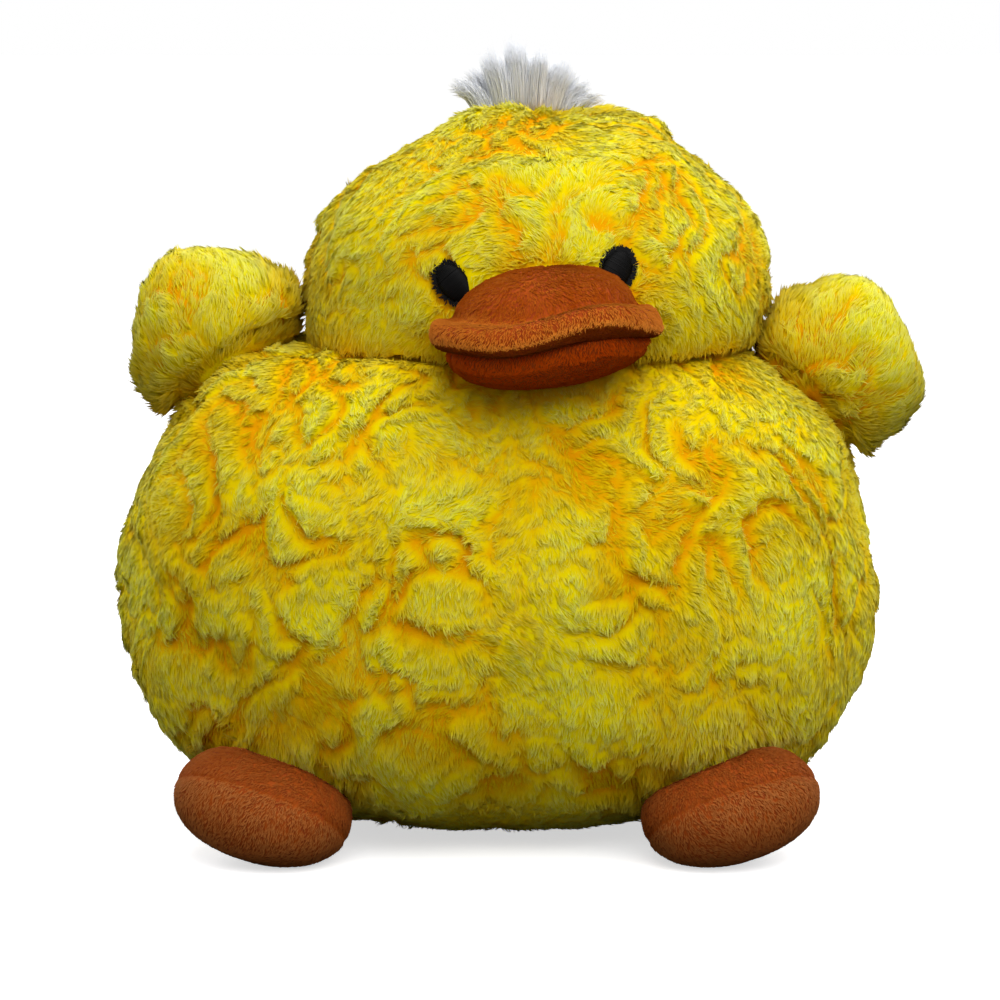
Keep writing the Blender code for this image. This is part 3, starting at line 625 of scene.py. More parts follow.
def raise_pile(cloth, nodes, size, height, comb, curl, slide, seed):
    """Raises the dense part of the pile off a cloth to the nodes over it, parted in winding lines between lumps.

    comb is the way that the pile is brushed, and curl how far it swirls and lies away from the partings instead.
    Gives the cloth's way out at each vertex, the way that it takes its light from, the way that the pile lies
    there, and its level, from 0 in a parting to 1 on a lump.
    """
    mesh = cloth.data
    points, out = points_of(mesh), normals_of(mesh)
    level, uphill = folds(points, size, seed)
    bend = curl(points)
    swirl = bend * SWIRL * flat_noise(points, size * 2.2, seed + 5)
    brushed = turned(tangent(comb(points), out), out, swirl)
    uphill = uphill - out * dots(uphill, out)
    way = unit(brushed + uphill * (0.9 * bend)[:, None])
    rise = cover_rise(mesh, nodes) + height(points) * (level - LUMP_SHARE)
    points = points + out * rise[:, None] + brushed * (slide * level)[:, None]
    set_points(mesh, points)
    relief = mesh.attributes.new("relief", "FLOAT", "POINT")
    relief.data.foreach_set("value", level.astype(np.float32))
    raised = normals_of(mesh)
    lit = unit(raised * (1 - EVENNESS) + out * EVENNESS)
    mesh.normals_split_custom_set_from_vertices(lit.astype(np.float32))
    return raised, lit, way, level[:, None]


def pile_lines(roots, out, way, level, random, rise, reach, seed):
    """The root, middle and tip of each lock of long pile, in small wisps that lean together."""
    rise, reach = (np.broadcast_to(size, len(roots)) for size in (rise, reach))
    own = tangent(way + random.normal(0, SPREAD, roots.shape), out)
    height = rise * random.uniform(0.4, 1.2, len(roots)) * (1 + 1.3 * (random.random(len(roots)) > 0.9))
    length = reach * random.uniform(0.7, 1.25, len(roots))
    tip = roots + own * length[:, None] + out * height[:, None]
    wisps = random.choice(len(roots), size=max(1, len(roots) // WISP_LOCKS), replace=False)
    member = nearest(roots, roots[wisps])
    leader = wisps[member]
    bunch = tip[leader] + (roots - roots[leader]) * 0.55
    tip = tip + (bunch - tip) * random.uniform(0.2, 0.7, len(roots))[:, None]
    bow = unit(np.cross(own, out)) * (reach * random.normal(0, 0.05, len(roots)))[:, None]
    middle = roots + (tip - roots) * 0.45 + out * (rise * 0.3)[:, None] + bow
    deep = roots - out * (rise * 0.4)[:, None]
    tone = random.normal(0, 0.08, len(wisps))[member] + random.normal(0, 0.02, len(roots))
    # Painted shade: low in the partings the locks take the golden kind, on the lumps the lemon kind
    shade = 1.4 * level - 0.26 + tone + 0.25 * flat_noise(roots, 22 * MM, seed)
    shade = np.clip(shade, 0, 1) ** 1.2
    return np.stack([deep, middle, tip], axis=1), shade


def cloth_tree(name):
    """A search tree over a finished cloth."""
    graph = bpy.context.evaluated_depsgraph_get()
    return BVHTree.FromObject(bpy.data.objects[name], graph)


def inside(tree, points, margin):
    """Which points lie in a closed cloth, or within a margin of it."""
    hit = np.zeros(len(points), bool)
    for index, point in enumerate(points):
        place, normal, _, distance = tree.find_nearest(point, NEAR)
        if place is not None:
            hit[index] = distance < margin or (Vector(point) - place).dot(normal) < 0
    return hit


def off_floor(lines):
    """Lifts each lock that would pass through the floor."""
    return lines + np.maximum(0, FLOOR_GAP - lines[..., 2].min(axis=1))[:, None, None] * np.array([0, 0, 1])


def split_pieces(name, locks, width, softness, groups, material, body, slot, nodes):
    """Makes pieces for each group of locks, none with more than PIECE_FACES faces, in place of the group's node.

    locks holds each lock's line, its cloth's way out, the way that it takes its light from and its shade.
    """
    lines, out, lit, shade = locks
    shade = np.clip(shade, 0, 1)
    for group, mask in groups.items():
        rows = np.flatnonzero(mask)
        rows = rows[np.argsort(lines[rows, 0, 2], kind="stable")]
        bands = max(1, math.ceil(len(rows) * LOCK_FACES / PIECE_FACES))
        for band, part in enumerate(np.array_split(rows, bands)):
            tail = f"_{band + 1}" if bands > 1 else ""
            own = (lines[part], out[part], lit[part], shade[part])
            piece = flat_locks(f"{name}_{group}{tail}", *own, width, softness, material)
            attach(piece, body)
            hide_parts(nodes[group])


def nearness(distance, width):
    """1 at no distance, falling smoothly towards 0 beyond a width."""
    return np.exp(-((distance / width) ** 2))


def gold_near(shade, distance, width, share):
    """Paints shade into locks within a width of a crease, turning them golden."""
    return shade * (1 - share * nearness(distance, width))


def distance_to(points, nodes):
    """How far each point is from the nearest of some nodes, up to a limit."""
    tree = node_tree(nodes)
    found = [tree.find_nearest(point, FAR)[3] for point in points]
    return np.array([FAR if distance is None else distance for distance in found])


def pile_roots(cloth, sizes, seed, fields, hidden, weight=None):
    """Random numbers from a seed, and the seen roots of the long pile on a cloth with their fields."""
    random = np.random.default_rng(seed)
    roots, (out, lit, way, level) = scatter(cloth.data, sizes.pile_count, random, fields, weight)
    out = unit(out)
    kept = ~hidden(roots, out)
    return random, [field[kept] for field in (roots, out, lit, way, level[:, 0])]


# Pieces


def pile_material(colours):
    """Long plush pile: lemon tips over roots of painted golden shade, hardly any gloss, a pale haze at its edges.
    """
    return lock_material(
        "yellow_plush_pile",
        roughness=0.8,
        specular=0.02,
        sheen=0.12,
        # Painted shade: the gold towards the light kind's roots, and the golden dark kind that lies between
        # ridges
        light=((0.05, colours.pile_root), (0.5, colours.pile_middle), (1, colours.pile_tip)),
        dark=((0.05, colours.gold_root), (1, colours.gold_tip)),
        sheen_tint=colours.pile_haze,
    )


def dense_material(colours):
    """The dense lower part of the pile: golden painted shade in its partings, yellow on its ridges, with fine
    fibres.
    """
    material, tree, shader = new_material("yellow_plush_underpile", 0.85, 0.02)
    level = add_node(tree, "ShaderNodeAttribute", {"attribute_name": "relief"})
    place = add_node(tree, "ShaderNodeTexCoord")
    fibres = add_node(
        tree,
        "ShaderNodeTexNoise",
        links={"Vector": place.outputs["Object"], "Scale": 1 / (1.2 * MM), "Detail": 3, "Roughness": 0.7},
    )
    ragged = add_node(
        tree,
        "ShaderNodeMath",
        {"operation": "MULTIPLY_ADD"},
        {0: fibres.outputs["Fac"], 1: 0.3, 2: level.outputs["Fac"]},
    )
    colours_node = add_node(tree, "ShaderNodeValToRGB", links={"Fac": ragged.outputs[0]})
    # Painted shade: the underpile turns golden, then orange, down in its partings
    set_ramp(
        colours_node,
        ((0.3, colours.parting), (0.45, colours.gold_root), (0.75, colours.gold_tip), (1, colours.pile_root)),
    )
    bump = add_node(
        tree, "ShaderNodeBump", links={"Height": fibres.outputs["Fac"], "Distance": 0.2 * MM, "Strength": 0.3}
    )
    tree.links.new(colours_node.outputs["Color"], shader.inputs["Base Color"])
    tree.links.new(bump.outputs["Normal"], shader.inputs["Normal"])
    return material


def shared_material(make, colours):
    """The material that a maker gives, made once for all its pieces."""
    for material in bpy.data.materials:
        if material.get("finish") == make.__name__:
            return material
    material = make(colours)
    material["finish"] = make.__name__
    return material


def build_body(sizes, colours):
    dense = shared_material(dense_material, colours)
    cloth = stuffed_cloth("body_cloth", ("body_filling",), PILE_GROW, VOXEL, dense, 2)
    seat_z = BODY_LOW.z + 14 * MM

    def comb(points):
        away = unit(points * [1, 1, 0])
        down = np.tile([0.0, 0.0, -1.0], (len(points), 1))
        under = np.clip((seat_z - points[:, 2]) / seat_z, 0, 1)[:, None]
        return down * (1 - under) + away * (0.3 + under)

    def curl(points):
        return 0.4 + 0.5 * np.clip((points[:, 2] - 35 * MM) / (60 * MM), 0, 1)

    def height(points):
        low = np.clip((points[:, 2] - 1 * MM) / (10 * MM), 0, 1)
        return sizes.lump_height * (0.55 + 0.45 * low)

    nodes = [f"body_{part}_panel" for part in ("front_left", "front_right", "back", "base")]
    fields = raise_pile(cloth, nodes, sizes.lump_size, height, comb, curl, 2.8 * MM, 3.1)
    keep_between(cloth, BASE_REST, BODY_HIGH.z + 9 * MM)
    head_tree = cloth_tree("head_cloth")
    points = points_of(cloth.data)
    under_head = (points[:, 2] > BODY_HIGH.z) & inside(head_tree, points, 0.8 * MM)
    points[under_head, 2] = BODY_HIGH.z
    set_points(cloth.data, points)
    hand_over(cloth, "body", "body_filling")

    def weight(points):
        front = points[:, 1] < SIDE_SEAM
        under = points[:, 2] < 4 * MM
        return np.where(under, 0.2, np.where(front, 1, 0.5))

    def hidden(roots, out):
        return inside(head_tree, roots + out * MM, 0.5 * MM)

    random, (roots, out, lit, way, level) = pile_roots(cloth, sizes, 11, fields, hidden, weight)
    by_feet = nearness(distance_to(roots, FEET), 9 * MM)
    by_wings = nearness(distance_to(roots, WINGS), WING_CREASE)
    rise, reach = sizes.pile_rise * (1 + 4 * by_feet + 3 * by_wings), sizes.pile_reach * (1 + by_feet)
    lines, shade = pile_lines(roots, out, way, level, random, rise, reach, 3.1)
    lines = off_floor(lines)
    # Painted shade: the pile turns golden near the wings and the head, in the creases where they meet the body
    shade = gold_near(shade, distance_to(roots, (*WINGS, "head_filling")), CREASE_SHADE_WIDTH, CREASE_SHADE_SHARE)
    front = roots[:, 1] < SIDE_SEAM
    # Painted shade: the pile turns golden along the chest's middle seam, in its crease
    chest = np.clip((roots[:, 2] - 60 * MM) / (50 * MM), 0, 1) * front
    shade = np.where(chest > 0, gold_near(shade, roots[:, 0] - CHEST_SEAM, 4 * MM, 0.45), shade)
    left = roots[:, 0] > CHEST_SEAM
    under = (roots[:, 2] < 4 * MM) & (out[:, 2] < -0.5)
    groups = {
        "front_left": front & left & ~under,
        "front_right": front & ~left & ~under,
        "back": ~front & ~under,
        "base": under,
    }
    material = shared_material(pile_material, colours)
    panels = {group: f"body_{group}_panel" for group in groups}
    locks = (lines, out, lit, shade)
    split_pieces(
        "body_pile", locks, sizes.pile_width, PILE_SOFTNESS, groups, material, "body", "yellow_pile", panels
    )


def build_head(sizes, colours):
    dense = shared_material(dense_material, colours)
    cloth = stuffed_cloth("head_cloth", ("head_filling",), PILE_GROW, VOXEL, dense, 2)
    bill = np.array([(BILL_LOW.x + BILL_HIGH.x) / 2, BILL_HIGH.y, (BILL_LOW.z + BILL_HIGH.z) / 2])

    def near_bill(points):
        return nearness(np.linalg.norm(points - bill, axis=1), 36 * MM)

    def comb(points):
        near = near_bill(points)[:, None]
        return np.array([0.0, 0.0, -1.0]) * (1 - near) + unit(points - bill) * near * 1.6

    def curl(points):
        return 0.85 - 0.45 * near_bill(points)

    def height(points):
        low = np.clip((points[:, 2] - HEAD_LOW.z) / (8 * MM), 0, 1)
        return sizes.lump_height * 0.8 * (0.25 + 0.75 * low) * (1 - 0.45 * near_bill(points))

    points = points_of(cloth.data)
    lean = np.clip((points[:, 2] - HEAD_LOW.z - 15 * MM) / (25 * MM), 0, 1)
    set_points(cloth.data, points - lean[:, None] * [HEAD_LEAN, 0, 0])
    nodes = ("head_front_panel", "head_back_panel")
    fields = raise_pile(cloth, nodes, sizes.lump_size * 0.9, height, comb, curl, 2.2 * MM, 7.7)
    keep_between(cloth, HEAD_LOW.z)
    hand_over(cloth, "head", "head_filling")

    def weight(points):
        return np.where(points[:, 1] < CROWN_SEAM, 1, 0.55)

    def hidden(roots, out):
        under = (roots[:, 2] < HEAD_LOW.z + 1.5 * MM) & (out[:, 2] < -0.8)
        for name in ("upper_bill_cloth", "lower_bill_cloth"):
            under |= inside(cloth_tree(name), roots + out * 3 * MM, 0.7 * MM)
        return under

    random, (roots, out, lit, way, level) = pile_roots(cloth, sizes, 12, fields, hidden, weight)
    by_bill = nearness(distance_to(roots, BILL), 4 * MM)
    way = way + random.normal(0, 1, roots.shape) * by_bill[:, None] * 1.2
    crown = np.array([(CREST_LOW.x + CREST_HIGH.x) / 2, CROWN_SEAM, CREST_LOW.z])
    by_tuft = np.exp(-((np.linalg.norm(roots - crown, axis=1) / (22 * MM)) ** 4))
    by_wings = nearness(distance_to(roots, WINGS), WING_CREASE)
    rise = sizes.pile_rise * (1 + 4 * by_bill + 3 * by_tuft + 3 * by_wings)
    lines, shade = pile_lines(roots, out, way, level, random, rise, sizes.pile_reach, 7.7)
    over = np.zeros(len(roots), bool)
    for side in ("left_eye", "right_eye"):
        centre, axes, halves = oval_frame(side)
        for station in range(3):
            place = (lines[:, station] - centre) @ axes.T
            spread = place[:, :2] / (halves[:2] * EYE_SPREAD)
            inner = (spread**2).sum(axis=1) < EYE_CLEARANCE[station] ** 2
            over |= inner & (np.abs(place[:, 2]) < 12 * MM)
    over &= random.random(len(roots)) > STRAY_SHARE
    roots, out, lit, lines, shade = (field[~over] for field in (roots, out, lit, lines, shade))
    # Painted highlight: the head's pile is shifted towards the paler, lemon kind, for the strong light from above
    shade = shade * 0.9 + 0.2
    # Painted shade: the pile turns golden low on the head, where it meets the body, and near the wings
    shade = gold_near(shade, roots[:, 2] - HEAD_LOW.z, 7 * MM, 0.8)
    shade = gold_near(shade, distance_to(roots, WINGS), CREASE_SHADE_WIDTH, CREASE_SHADE_SHARE)
    front = roots[:, 1] < CROWN_SEAM
    groups = {"front": front, "back": ~front}
    material = shared_material(pile_material, colours)
    panels = {group: f"head_{group}_panel" for group in groups}
    locks = (lines, out, lit, shade)
    split_pieces(
        "head_pile", locks, sizes.pile_width, PILE_SOFTNESS, groups, material, "head", "yellow_pile", panels
    )


def wing_way(side):
    """The way a wing points, from its root to its tip, and the place of its root."""
    low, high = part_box(f"{side}_wing_front_panel")
    root = Vector(JOINTS[f"{side}_wing_swing"]["pos_m"])
    way = (low + high) / 2 - root
    way.y = 0
    return np.array(way.normalized()), np.array(root)


def build_wings(sizes, colours):
    dense = shared_material(dense_material, colours)
    material = shared_material(pile_material, colours)
    neighbours = [cloth_tree(name) for name in ("body_cloth", "head_cloth")]
    for number, side in enumerate(("left", "right")):
        cloth = stuffed_cloth(f"{side}_wing_cloth", (f"{side}_wing_filling",), WING_GROW, WING_VOXEL, dense, 2)
        way_out, root = wing_way(side)

        def comb(points):
            return way_out + unit((points - root) * [1, 0.3, 1]) * 0.8

        def curl(points):
            return np.full(len(points), 0.35)

        def height(points):
            root_side = np.clip(1 - (points - root) @ way_out / (22 * MM), 0, 1)
            return sizes.lump_height * (0.45 + 0.6 * root_side)

        nodes = [f"{side}_wing_{part}_panel" for part in ("front", "back")]
        fields = raise_pile(cloth, nodes, sizes.lump_size, height, comb, curl, 1.0 * MM, 5.3 + number)
        hand_over(cloth, f"{side}_wing", f"{side}_wing_filling")

        def hidden(roots, out):
            return np.any([inside(tree, roots + out * MM, 1.5 * MM) for tree in neighbours], axis=0)

        random, (roots, out, lit, way, level) = pile_roots(cloth, sizes, 21 + number, fields, hidden)
        apart = distance_to(roots, TRUNK)
        near = nearness(apart, 15 * MM)
        rise, reach = sizes.pile_rise * (1.6 + 4 * near), sizes.pile_reach * (1.2 + 0.6 * near)
        lines, shade = pile_lines(roots, out, way, level, random, rise, reach, 5.3)
        # The wing's pile is shifted towards the paler kind of lock, and painted shade turns it golden near the
        # body and head, in the crease at its root
        shade = gold_near(shade * 0.7 + 0.42, apart, 14 * MM, 0.95)
        seam = (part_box(f"{side}_wing_front_panel")[1].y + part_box(f"{side}_wing_back_panel")[0].y) / 2
        front = roots[:, 1] < seam
        groups = {"front": front, "back": ~front}
        panels = {group: f"{side}_wing_{group}_panel" for group in groups}
        own = (f"{side}_wing_pile", (lines, out, lit, shade), sizes.pile_width, PILE_SOFTNESS)
        split_pieces(*own, groups, material, f"{side}_wing", "yellow_pile", panels)


def nap_lines(roots, out, random, sizes, comb, seed):
    """The root, middle and tip of each lock of short nap, combed flat with small swirls."""
    swirl = 0.9 * flat_noise(roots, 12 * MM, seed) + random.normal(0, 0.25, len(roots))
    way = turned(tangent(comb(roots), out), out, swirl)
    height = sizes.nap_rise * random.uniform(0.6, 1.2, len(roots))
    length = sizes.nap_reach * random.uniform(0.7, 1.3, len(roots))
    tip = roots + out * height[:, None] + way * length[:, None]
    middle = roots + (tip - roots) * 0.45 + out * (sizes.nap_rise * 0.3)
    deep = roots - out * (sizes.nap_rise * 0.4)
    brushed = flat_noise(roots, 9 * MM, seed + 4)
    streaks = flat_noise(roots * [1, 1, 0.5], 1.6 * MM, seed + 8)
    shade = 0.5 + 0.3 * brushed + 0.3 * streaks + random.normal(0, 0.08, len(roots))
    return np.stack([deep, middle, tip], axis=1), shade


def bill_material(colours):
    """Short nap of the bill, sheared and brushed: orange with pale combed streaks and a painted highlight on its
    rolled lip.
    """
    return lock_material(
        "orange_nap_pile",
        roughness=0.7,
        specular=0.03,
        light=((0.1, colours.bill_light), (1, colours.bill_pale)),
        dark=((0.1, colours.bill_dark), (1, colours.bill_middle)),
    )


def rust_material(colours):
    """The same nap on the lower bill, which is a deeper red brown."""
    return lock_material(
        "rust_nap_pile",
        roughness=0.7,
        specular=0.02,
        light=((0.1, colours.rust_middle), (1, colours.rust_light)),
        dark=((0.1, colours.rust_dark), (1, colours.rust_middle)),
    )


def bill_cloth_material(colours):
    """Knitted cloth under the nap of the bill."""
    return nap_cloth_material("orange_nap_cloth", colours.bill_dark, colours.bill_middle)


def foot_material(colours):
    """Short nap of the feet, sheared and brushed: brown with darker combed streaks."""
    return lock_material(
        "brown_nap_pile",
        roughness=0.7,
        specular=0.08,
        light=((0.1, colours.foot_light), (1, colours.foot_pale)),
        dark=((0.1, colours.foot_dark), (1, colours.foot_middle)),
    )


def foot_cloth_material(colours):
    """Knitted cloth under the nap of the feet."""
    return nap_cloth_material("brown_nap_cloth", colours.foot_dark, colours.foot_middle)


def seam_plane(above, below):
    """The middle of the seam between two nodes, and its plane's direction towards the one above."""
    points = points_of(frame["nodes"][below].data)
    tree = node_tree((above,))
    edge = np.array([point for point in points if tree.find_nearest(point)[3] < 0.5 * MM])
    centre = edge.mean(axis=0)
    across = np.linalg.svd(edge - centre, full_matrices=False)[2][2]
    return centre, across * np.sign(across[2])


def build_feet(sizes, colours):
    cloth_material = shared_material(foot_cloth_material, colours)
    material = shared_material(foot_material, colours)
    body_tree = cloth_tree("body_cloth")
    for number, side in enumerate(("left", "right")):
        filling = f"{side}_foot_filling"
        cloth = stuffed_cloth(f"{side}_foot_cloth", (filling,), NAP_GROW, FOOT_VOXEL, cloth_material)
        centre, across = seam_plane(f"{side}_foot_upper", f"{side}_foot_sole")
        points = points_of(cloth.data)
        drawn = nearness((points - centre) @ across, 1.2 * MM)
        set_points(cloth.data, points + normals_of(cloth.data) * ((1 - 0.6 * drawn) * 0.6 * MM)[:, None])
        keep_between(cloth, FLOOR_GAP)
        hand_over(cloth, f"{side}_foot", filling)
        random = np.random.default_rng(31 + number)
        roots, (out,) = scatter(cloth.data, sizes.nap_count, random, (normals_of(cloth.data),))
        out = unit(out)
        hidden = inside(body_tree, roots, MM)
        roots, out = roots[~hidden], out[~hidden]
        sign = 1 if side == "left" else -1

        def comb(points):
            return np.tile([sign * 0.5, -0.4, -0.8], (len(points), 1))

        lines, shade = nap_lines(roots, out, random, sizes, comb, 2.2 + number)
        lines = off_floor(lines)
        beyond = (roots - centre) @ across
        upper = beyond > 0
        # The upper and the sole are two tones of nap; the nap is painted darker along the seam between them,
        # painted shade in its groove
        shade = shade * 0.45 + np.where(upper, 0.06, 0.5) - 0.25 * nearness(beyond, 0.9 * MM)
        groups = {"upper": upper, "sole": ~upper}
        nodes = {group: f"{side}_foot_{group}" for group in groups}
        own = (f"{side}_foot_nap", (lines, out, out, shade), sizes.nap_width, NAP_SOFTNESS)
        split_pieces(*own, groups, material, f"{side}_foot", "brown_nap", nodes)


def build_bill(sizes, colours):
    cloth_material = shared_material(bill_cloth_material, colours)
    materials = [shared_material(make, colours) for make in (bill_material, rust_material)]
    kinds = zip(("upper", "lower"), materials, BILL_GROW, ("orange_nap", "rust_nap"))
    for number, (half, material, grow, slot) in enumerate(kinds):
        nodes = [f"{half}_bill_{part}" for part in ("cover", "lining", "filling")]
        cloth = stuffed_cloth(f"{half}_bill_cloth", nodes, grow, BILL_VOXEL, cloth_material, 1, 0)
        hand_over(cloth, "head", nodes[2])
        random = np.random.default_rng(41 + number)
        roots, (out,) = scatter(cloth.data, sizes.nap_count, random, (normals_of(cloth.data),))
        out = unit(out)
        half_width = (BILL_HIGH.x - BILL_LOW.x) / 2
        root = np.array([BILL_LOW.x + half_width, BILL_LOW.y + BILL_REACH_SHARE * half_width, BILL_HIGH.z])
        kept = roots[:, 1] < BILL_HIGH.y - 6 * MM
        roots, out = roots[kept], out[kept]

        def comb(points):
            return (points - root) * [1, 1, 0.6]

        lines, shade = nap_lines(roots, out, random, sizes, comb, 6.2 + number)
        lit = out
        if half == "upper":
            plan = (roots[:, :2] - root[:2]) / [half_width, BILL_REACH_SHARE * half_width]
            lip = np.clip((np.linalg.norm(plan, axis=1) - 0.78) / 0.08, 0, 1) * (out[:, 2] > -0.7)
            # Painted highlight: the rolled lip takes the lighter kind of nap, paler still on its underside, which
            # faces away from the lamps
            shade = shade * 0.45 - 0.12 + lip * (0.38 + 0.5 * np.clip(0.4 - out[:, 2], 0, 1))
            lit = unit(out + np.array([0, -0.3, 0.8]) * lip[:, None])
        else:
            shade = shade * 0.7 + 0.15
        lining = belongs(roots, nodes[:2]) == 1
        for part, mask, own_slot in (("cover", ~lining, slot), ("lining", lining, "rust_nap")):
            own = (f"{half}_bill_nap", (lines, out, lit, shade), sizes.nap_width, NAP_SOFTNESS)
            split_pieces(*own, {part: mask}, material, "head", own_slot, {part: f"{half}_bill_{part}"})


def oval_frame(node):
    """The middle of an eye, its long, short and outward axes, and half its size along each."""
    points = points_of(frame["nodes"][node].data)
    centre = (points.max(axis=0) + points.min(axis=0)) / 2
    _, _, axes = np.linalg.svd(points - centre, full_matrices=False)
    if axes[2][1] > 0:
        axes[2] = -axes[2]
    axes[1] = np.cross(axes[2], axes[0])
    halves = np.abs((points - centre) @ axes.T).max(axis=0)
    return centre, axes, halves


def thread_material(colours):
    """Rayon embroidery thread, laid as satin stitches: black, with a narrow gloss."""
    return lock_material(
        "black_satin_thread",
        roughness=0.4,
        specular=0.1,
        light=((0, colours.thread), (1, colours.thread)),
        dark=((0, (0, 0, 0)), (1, colours.thread)),
    )


def build_eyes(sizes, colours):
    material = shared_material(thread_material, colours)
    random = np.random.default_rng(51)
    for side in ("left_eye", "right_eye"):
        centre, axes, (half_length, half_width, half_thickness) = oval_frame(side)
        half_length, half_width = EYE_SPREAD * (half_length, half_width)
        count = int(2 * half_length / (sizes.thread_width * 0.7))
        places = np.linspace(-1, 1, count + 2)[1:-1]
        chord = np.sqrt(1 - places**2)
        steps = np.linspace(-1, 1, 9)
        across = steps[None] * chord[:, None] * half_width
        along = places[:, None] * half_length + random.normal(0, 0.03 * MM, (count, 1)) + 0 * steps[None]
        dome = np.sqrt(np.clip(1 - places[:, None] ** 2 - (steps[None] * chord[:, None]) ** 2, 0, 1))
        height = half_thickness * (1.5 * dome - 0.1)
        lines = centre + along[..., None] * axes[0] + across[..., None] * axes[1] + height[..., None] * axes[2]
        radii = np.full(7, sizes.thread_width / 2)
        turn = np.tile(axes[0], (count, 1))
        shade = random.uniform(0.4, 1, count)
        piece = round_locks(f"{side}_stitches", lines, radii, shade, material, THREAD_SIDES, turn)
        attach(piece, "head")
        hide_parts(side)
        angles = random.uniform(0, 2 * math.pi, FRINGE_COUNT)
        rim = np.stack([np.cos(angles) * half_length, np.sin(angles) * half_width], axis=1)
        start = random.uniform(0.75, 0.95, (FRINGE_COUNT, 1))
        stations = start + random.uniform(0.05, 0.16, (FRINGE_COUNT, 1)) * [0, 1, 2]
        places = rim[:, None] * stations[..., None] + random.normal(0, 0.25 * MM, (FRINGE_COUNT, 3, 2))
        lines = centre + places @ axes[:2] + axes[2] * (half_thickness * np.array([0.2, 0.9, 0.8]))[None, :, None]
        out = np.tile(axes[2], (FRINGE_COUNT, 1))
        shade = np.full(FRINGE_COUNT, 0.9)
        piece = flat_locks(f"{side}_fringe", lines, out, out, shade, 0.35 * MM, 1, material)
        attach(piece, "head")


def tuft_material(colours):
    """Long white pile of the tuft: painted shade, pale blue grey, where it is deep, and white at its tips."""
    return lock_material(
        "white_plush_pile",
        roughness=0.65,
        specular=0.2,
        sheen=0.1,
        light=((0, colours.tuft_root), (0.6, colours.tuft_tip), (1, colours.tuft_tip)),
        dark=((0, colours.tuft_glow), (0.3, colours.tuft_root), (1, colours.tuft_tip)),
    )


# Each lobe of the tuft: its tip across, behind and up from the middle of the crown and its half width, in
# millimetres, and its locks
TUFT_LOBES = (
    (-20.5, -2.0, 11.5, 3.4, 700),
    (-16.0, 3.5, 14.5, 3.6, 620),
    (-11.0, -2.0, 19.5, 4.0, 1000),
    (-5.0, 3.0, 17.0, 4.0, 700),
    (-3.6, -1.5, 23.1, 3.8, 1050),
    (1.5, 4.0, 19.0, 4.0, 760),
    (4.0, -2.5, 21.0, 2.6, 500),
    (10.8, -1.0, 17.2, 4.1, 1000),
    (13.5, 3.5, 14.5, 3.6, 660),
    (17.6, 0.5, 11.3, 2.4, 420),
    (21.5, -1.0, 7.5, 2.2, 360),
)


def build_crest(sizes, colours):
    material = shared_material(tuft_material, colours)
    random = np.random.default_rng(61)
    middle = np.array([(CREST_LOW.x + CREST_HIGH.x) / 2, CROWN_SEAM, CREST_LOW.z - 1.5 * MM])
    lines, shades = [], []
    stations = np.linspace(0, 1, 5)
    for across, depth, up, half, count in TUFT_LOBES:
        tip = np.array([across, depth * 1.6, up]) * MM * (sizes.tuft_length / (20 * MM))
        root = np.array([across * 0.55, depth, 0]) * MM
        spread = random.normal(0, 1, (count, 3))
        spread *= (random.random((count, 1)) ** (1 / 3)) / np.linalg.norm(spread, axis=1, keepdims=True)
        start = middle + root + spread * [2.6 * MM, 2.2 * MM, 0]
        end = middle + tip + spread * half * MM - (tip * 0.4) * random.random((count, 1)) ** 1.6
        bend = np.array([0, 0, 1]) * np.linalg.norm(tip) * 0.14
        line = start[:, None] + (end - start)[:, None] * stations[None, :, None]
        line = line + bend * (np.sin(stations * math.pi))[None, :, None]
        wave = random.normal(0, 0.35 * MM, (count, 1, 3)) * np.sin(stations * math.pi)[None, :, None]
        lines.append(line + wave)
        shades.append(np.clip(0.6 + random.normal(0, 0.12) + random.normal(0, 0.12, count), 0, 1))
    lines, shade = np.concatenate(lines), np.concatenate(shades)
    radius = sizes.tuft_width / 2
    turn = random.normal(0, 1, (len(lines), 3))
    piece = round_locks("crest_tuft_pile", lines, (radius, radius, radius * 0.7), shade, material, 3, turn)
    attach(piece, "head")
    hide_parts("crest_tuft")


# Stage


def floor_material():
    """Matt white paper, which looks white to the camera, keeps a soft shadow and throws back little light."""
    material, tree, shader = new_material("white_paper_sweep", 0.9, 0.1)
    path = add_node(tree, "ShaderNodeLightPath")
    paper = add_node(
        tree, "ShaderNodeMapRange", links={"Value": path.outputs["Is Camera Ray"], "To Min": 0.15, "To Max": 0.9}
    )
    glow = add_node(
        tree, "ShaderNodeMapRange", links={"Value": path.outputs["Is Camera Ray"], "To Min": 0.0, "To Max": 0.6}
    )
    tree.links.new(paper.outputs["Result"], shader.inputs["Base Color"])
    shader.inputs["Emission Color"].default_value = (1, 1, 1, 1)
    tree.links.new(glow.outputs["Result"], shader.inputs["Emission Strength"])
    return material


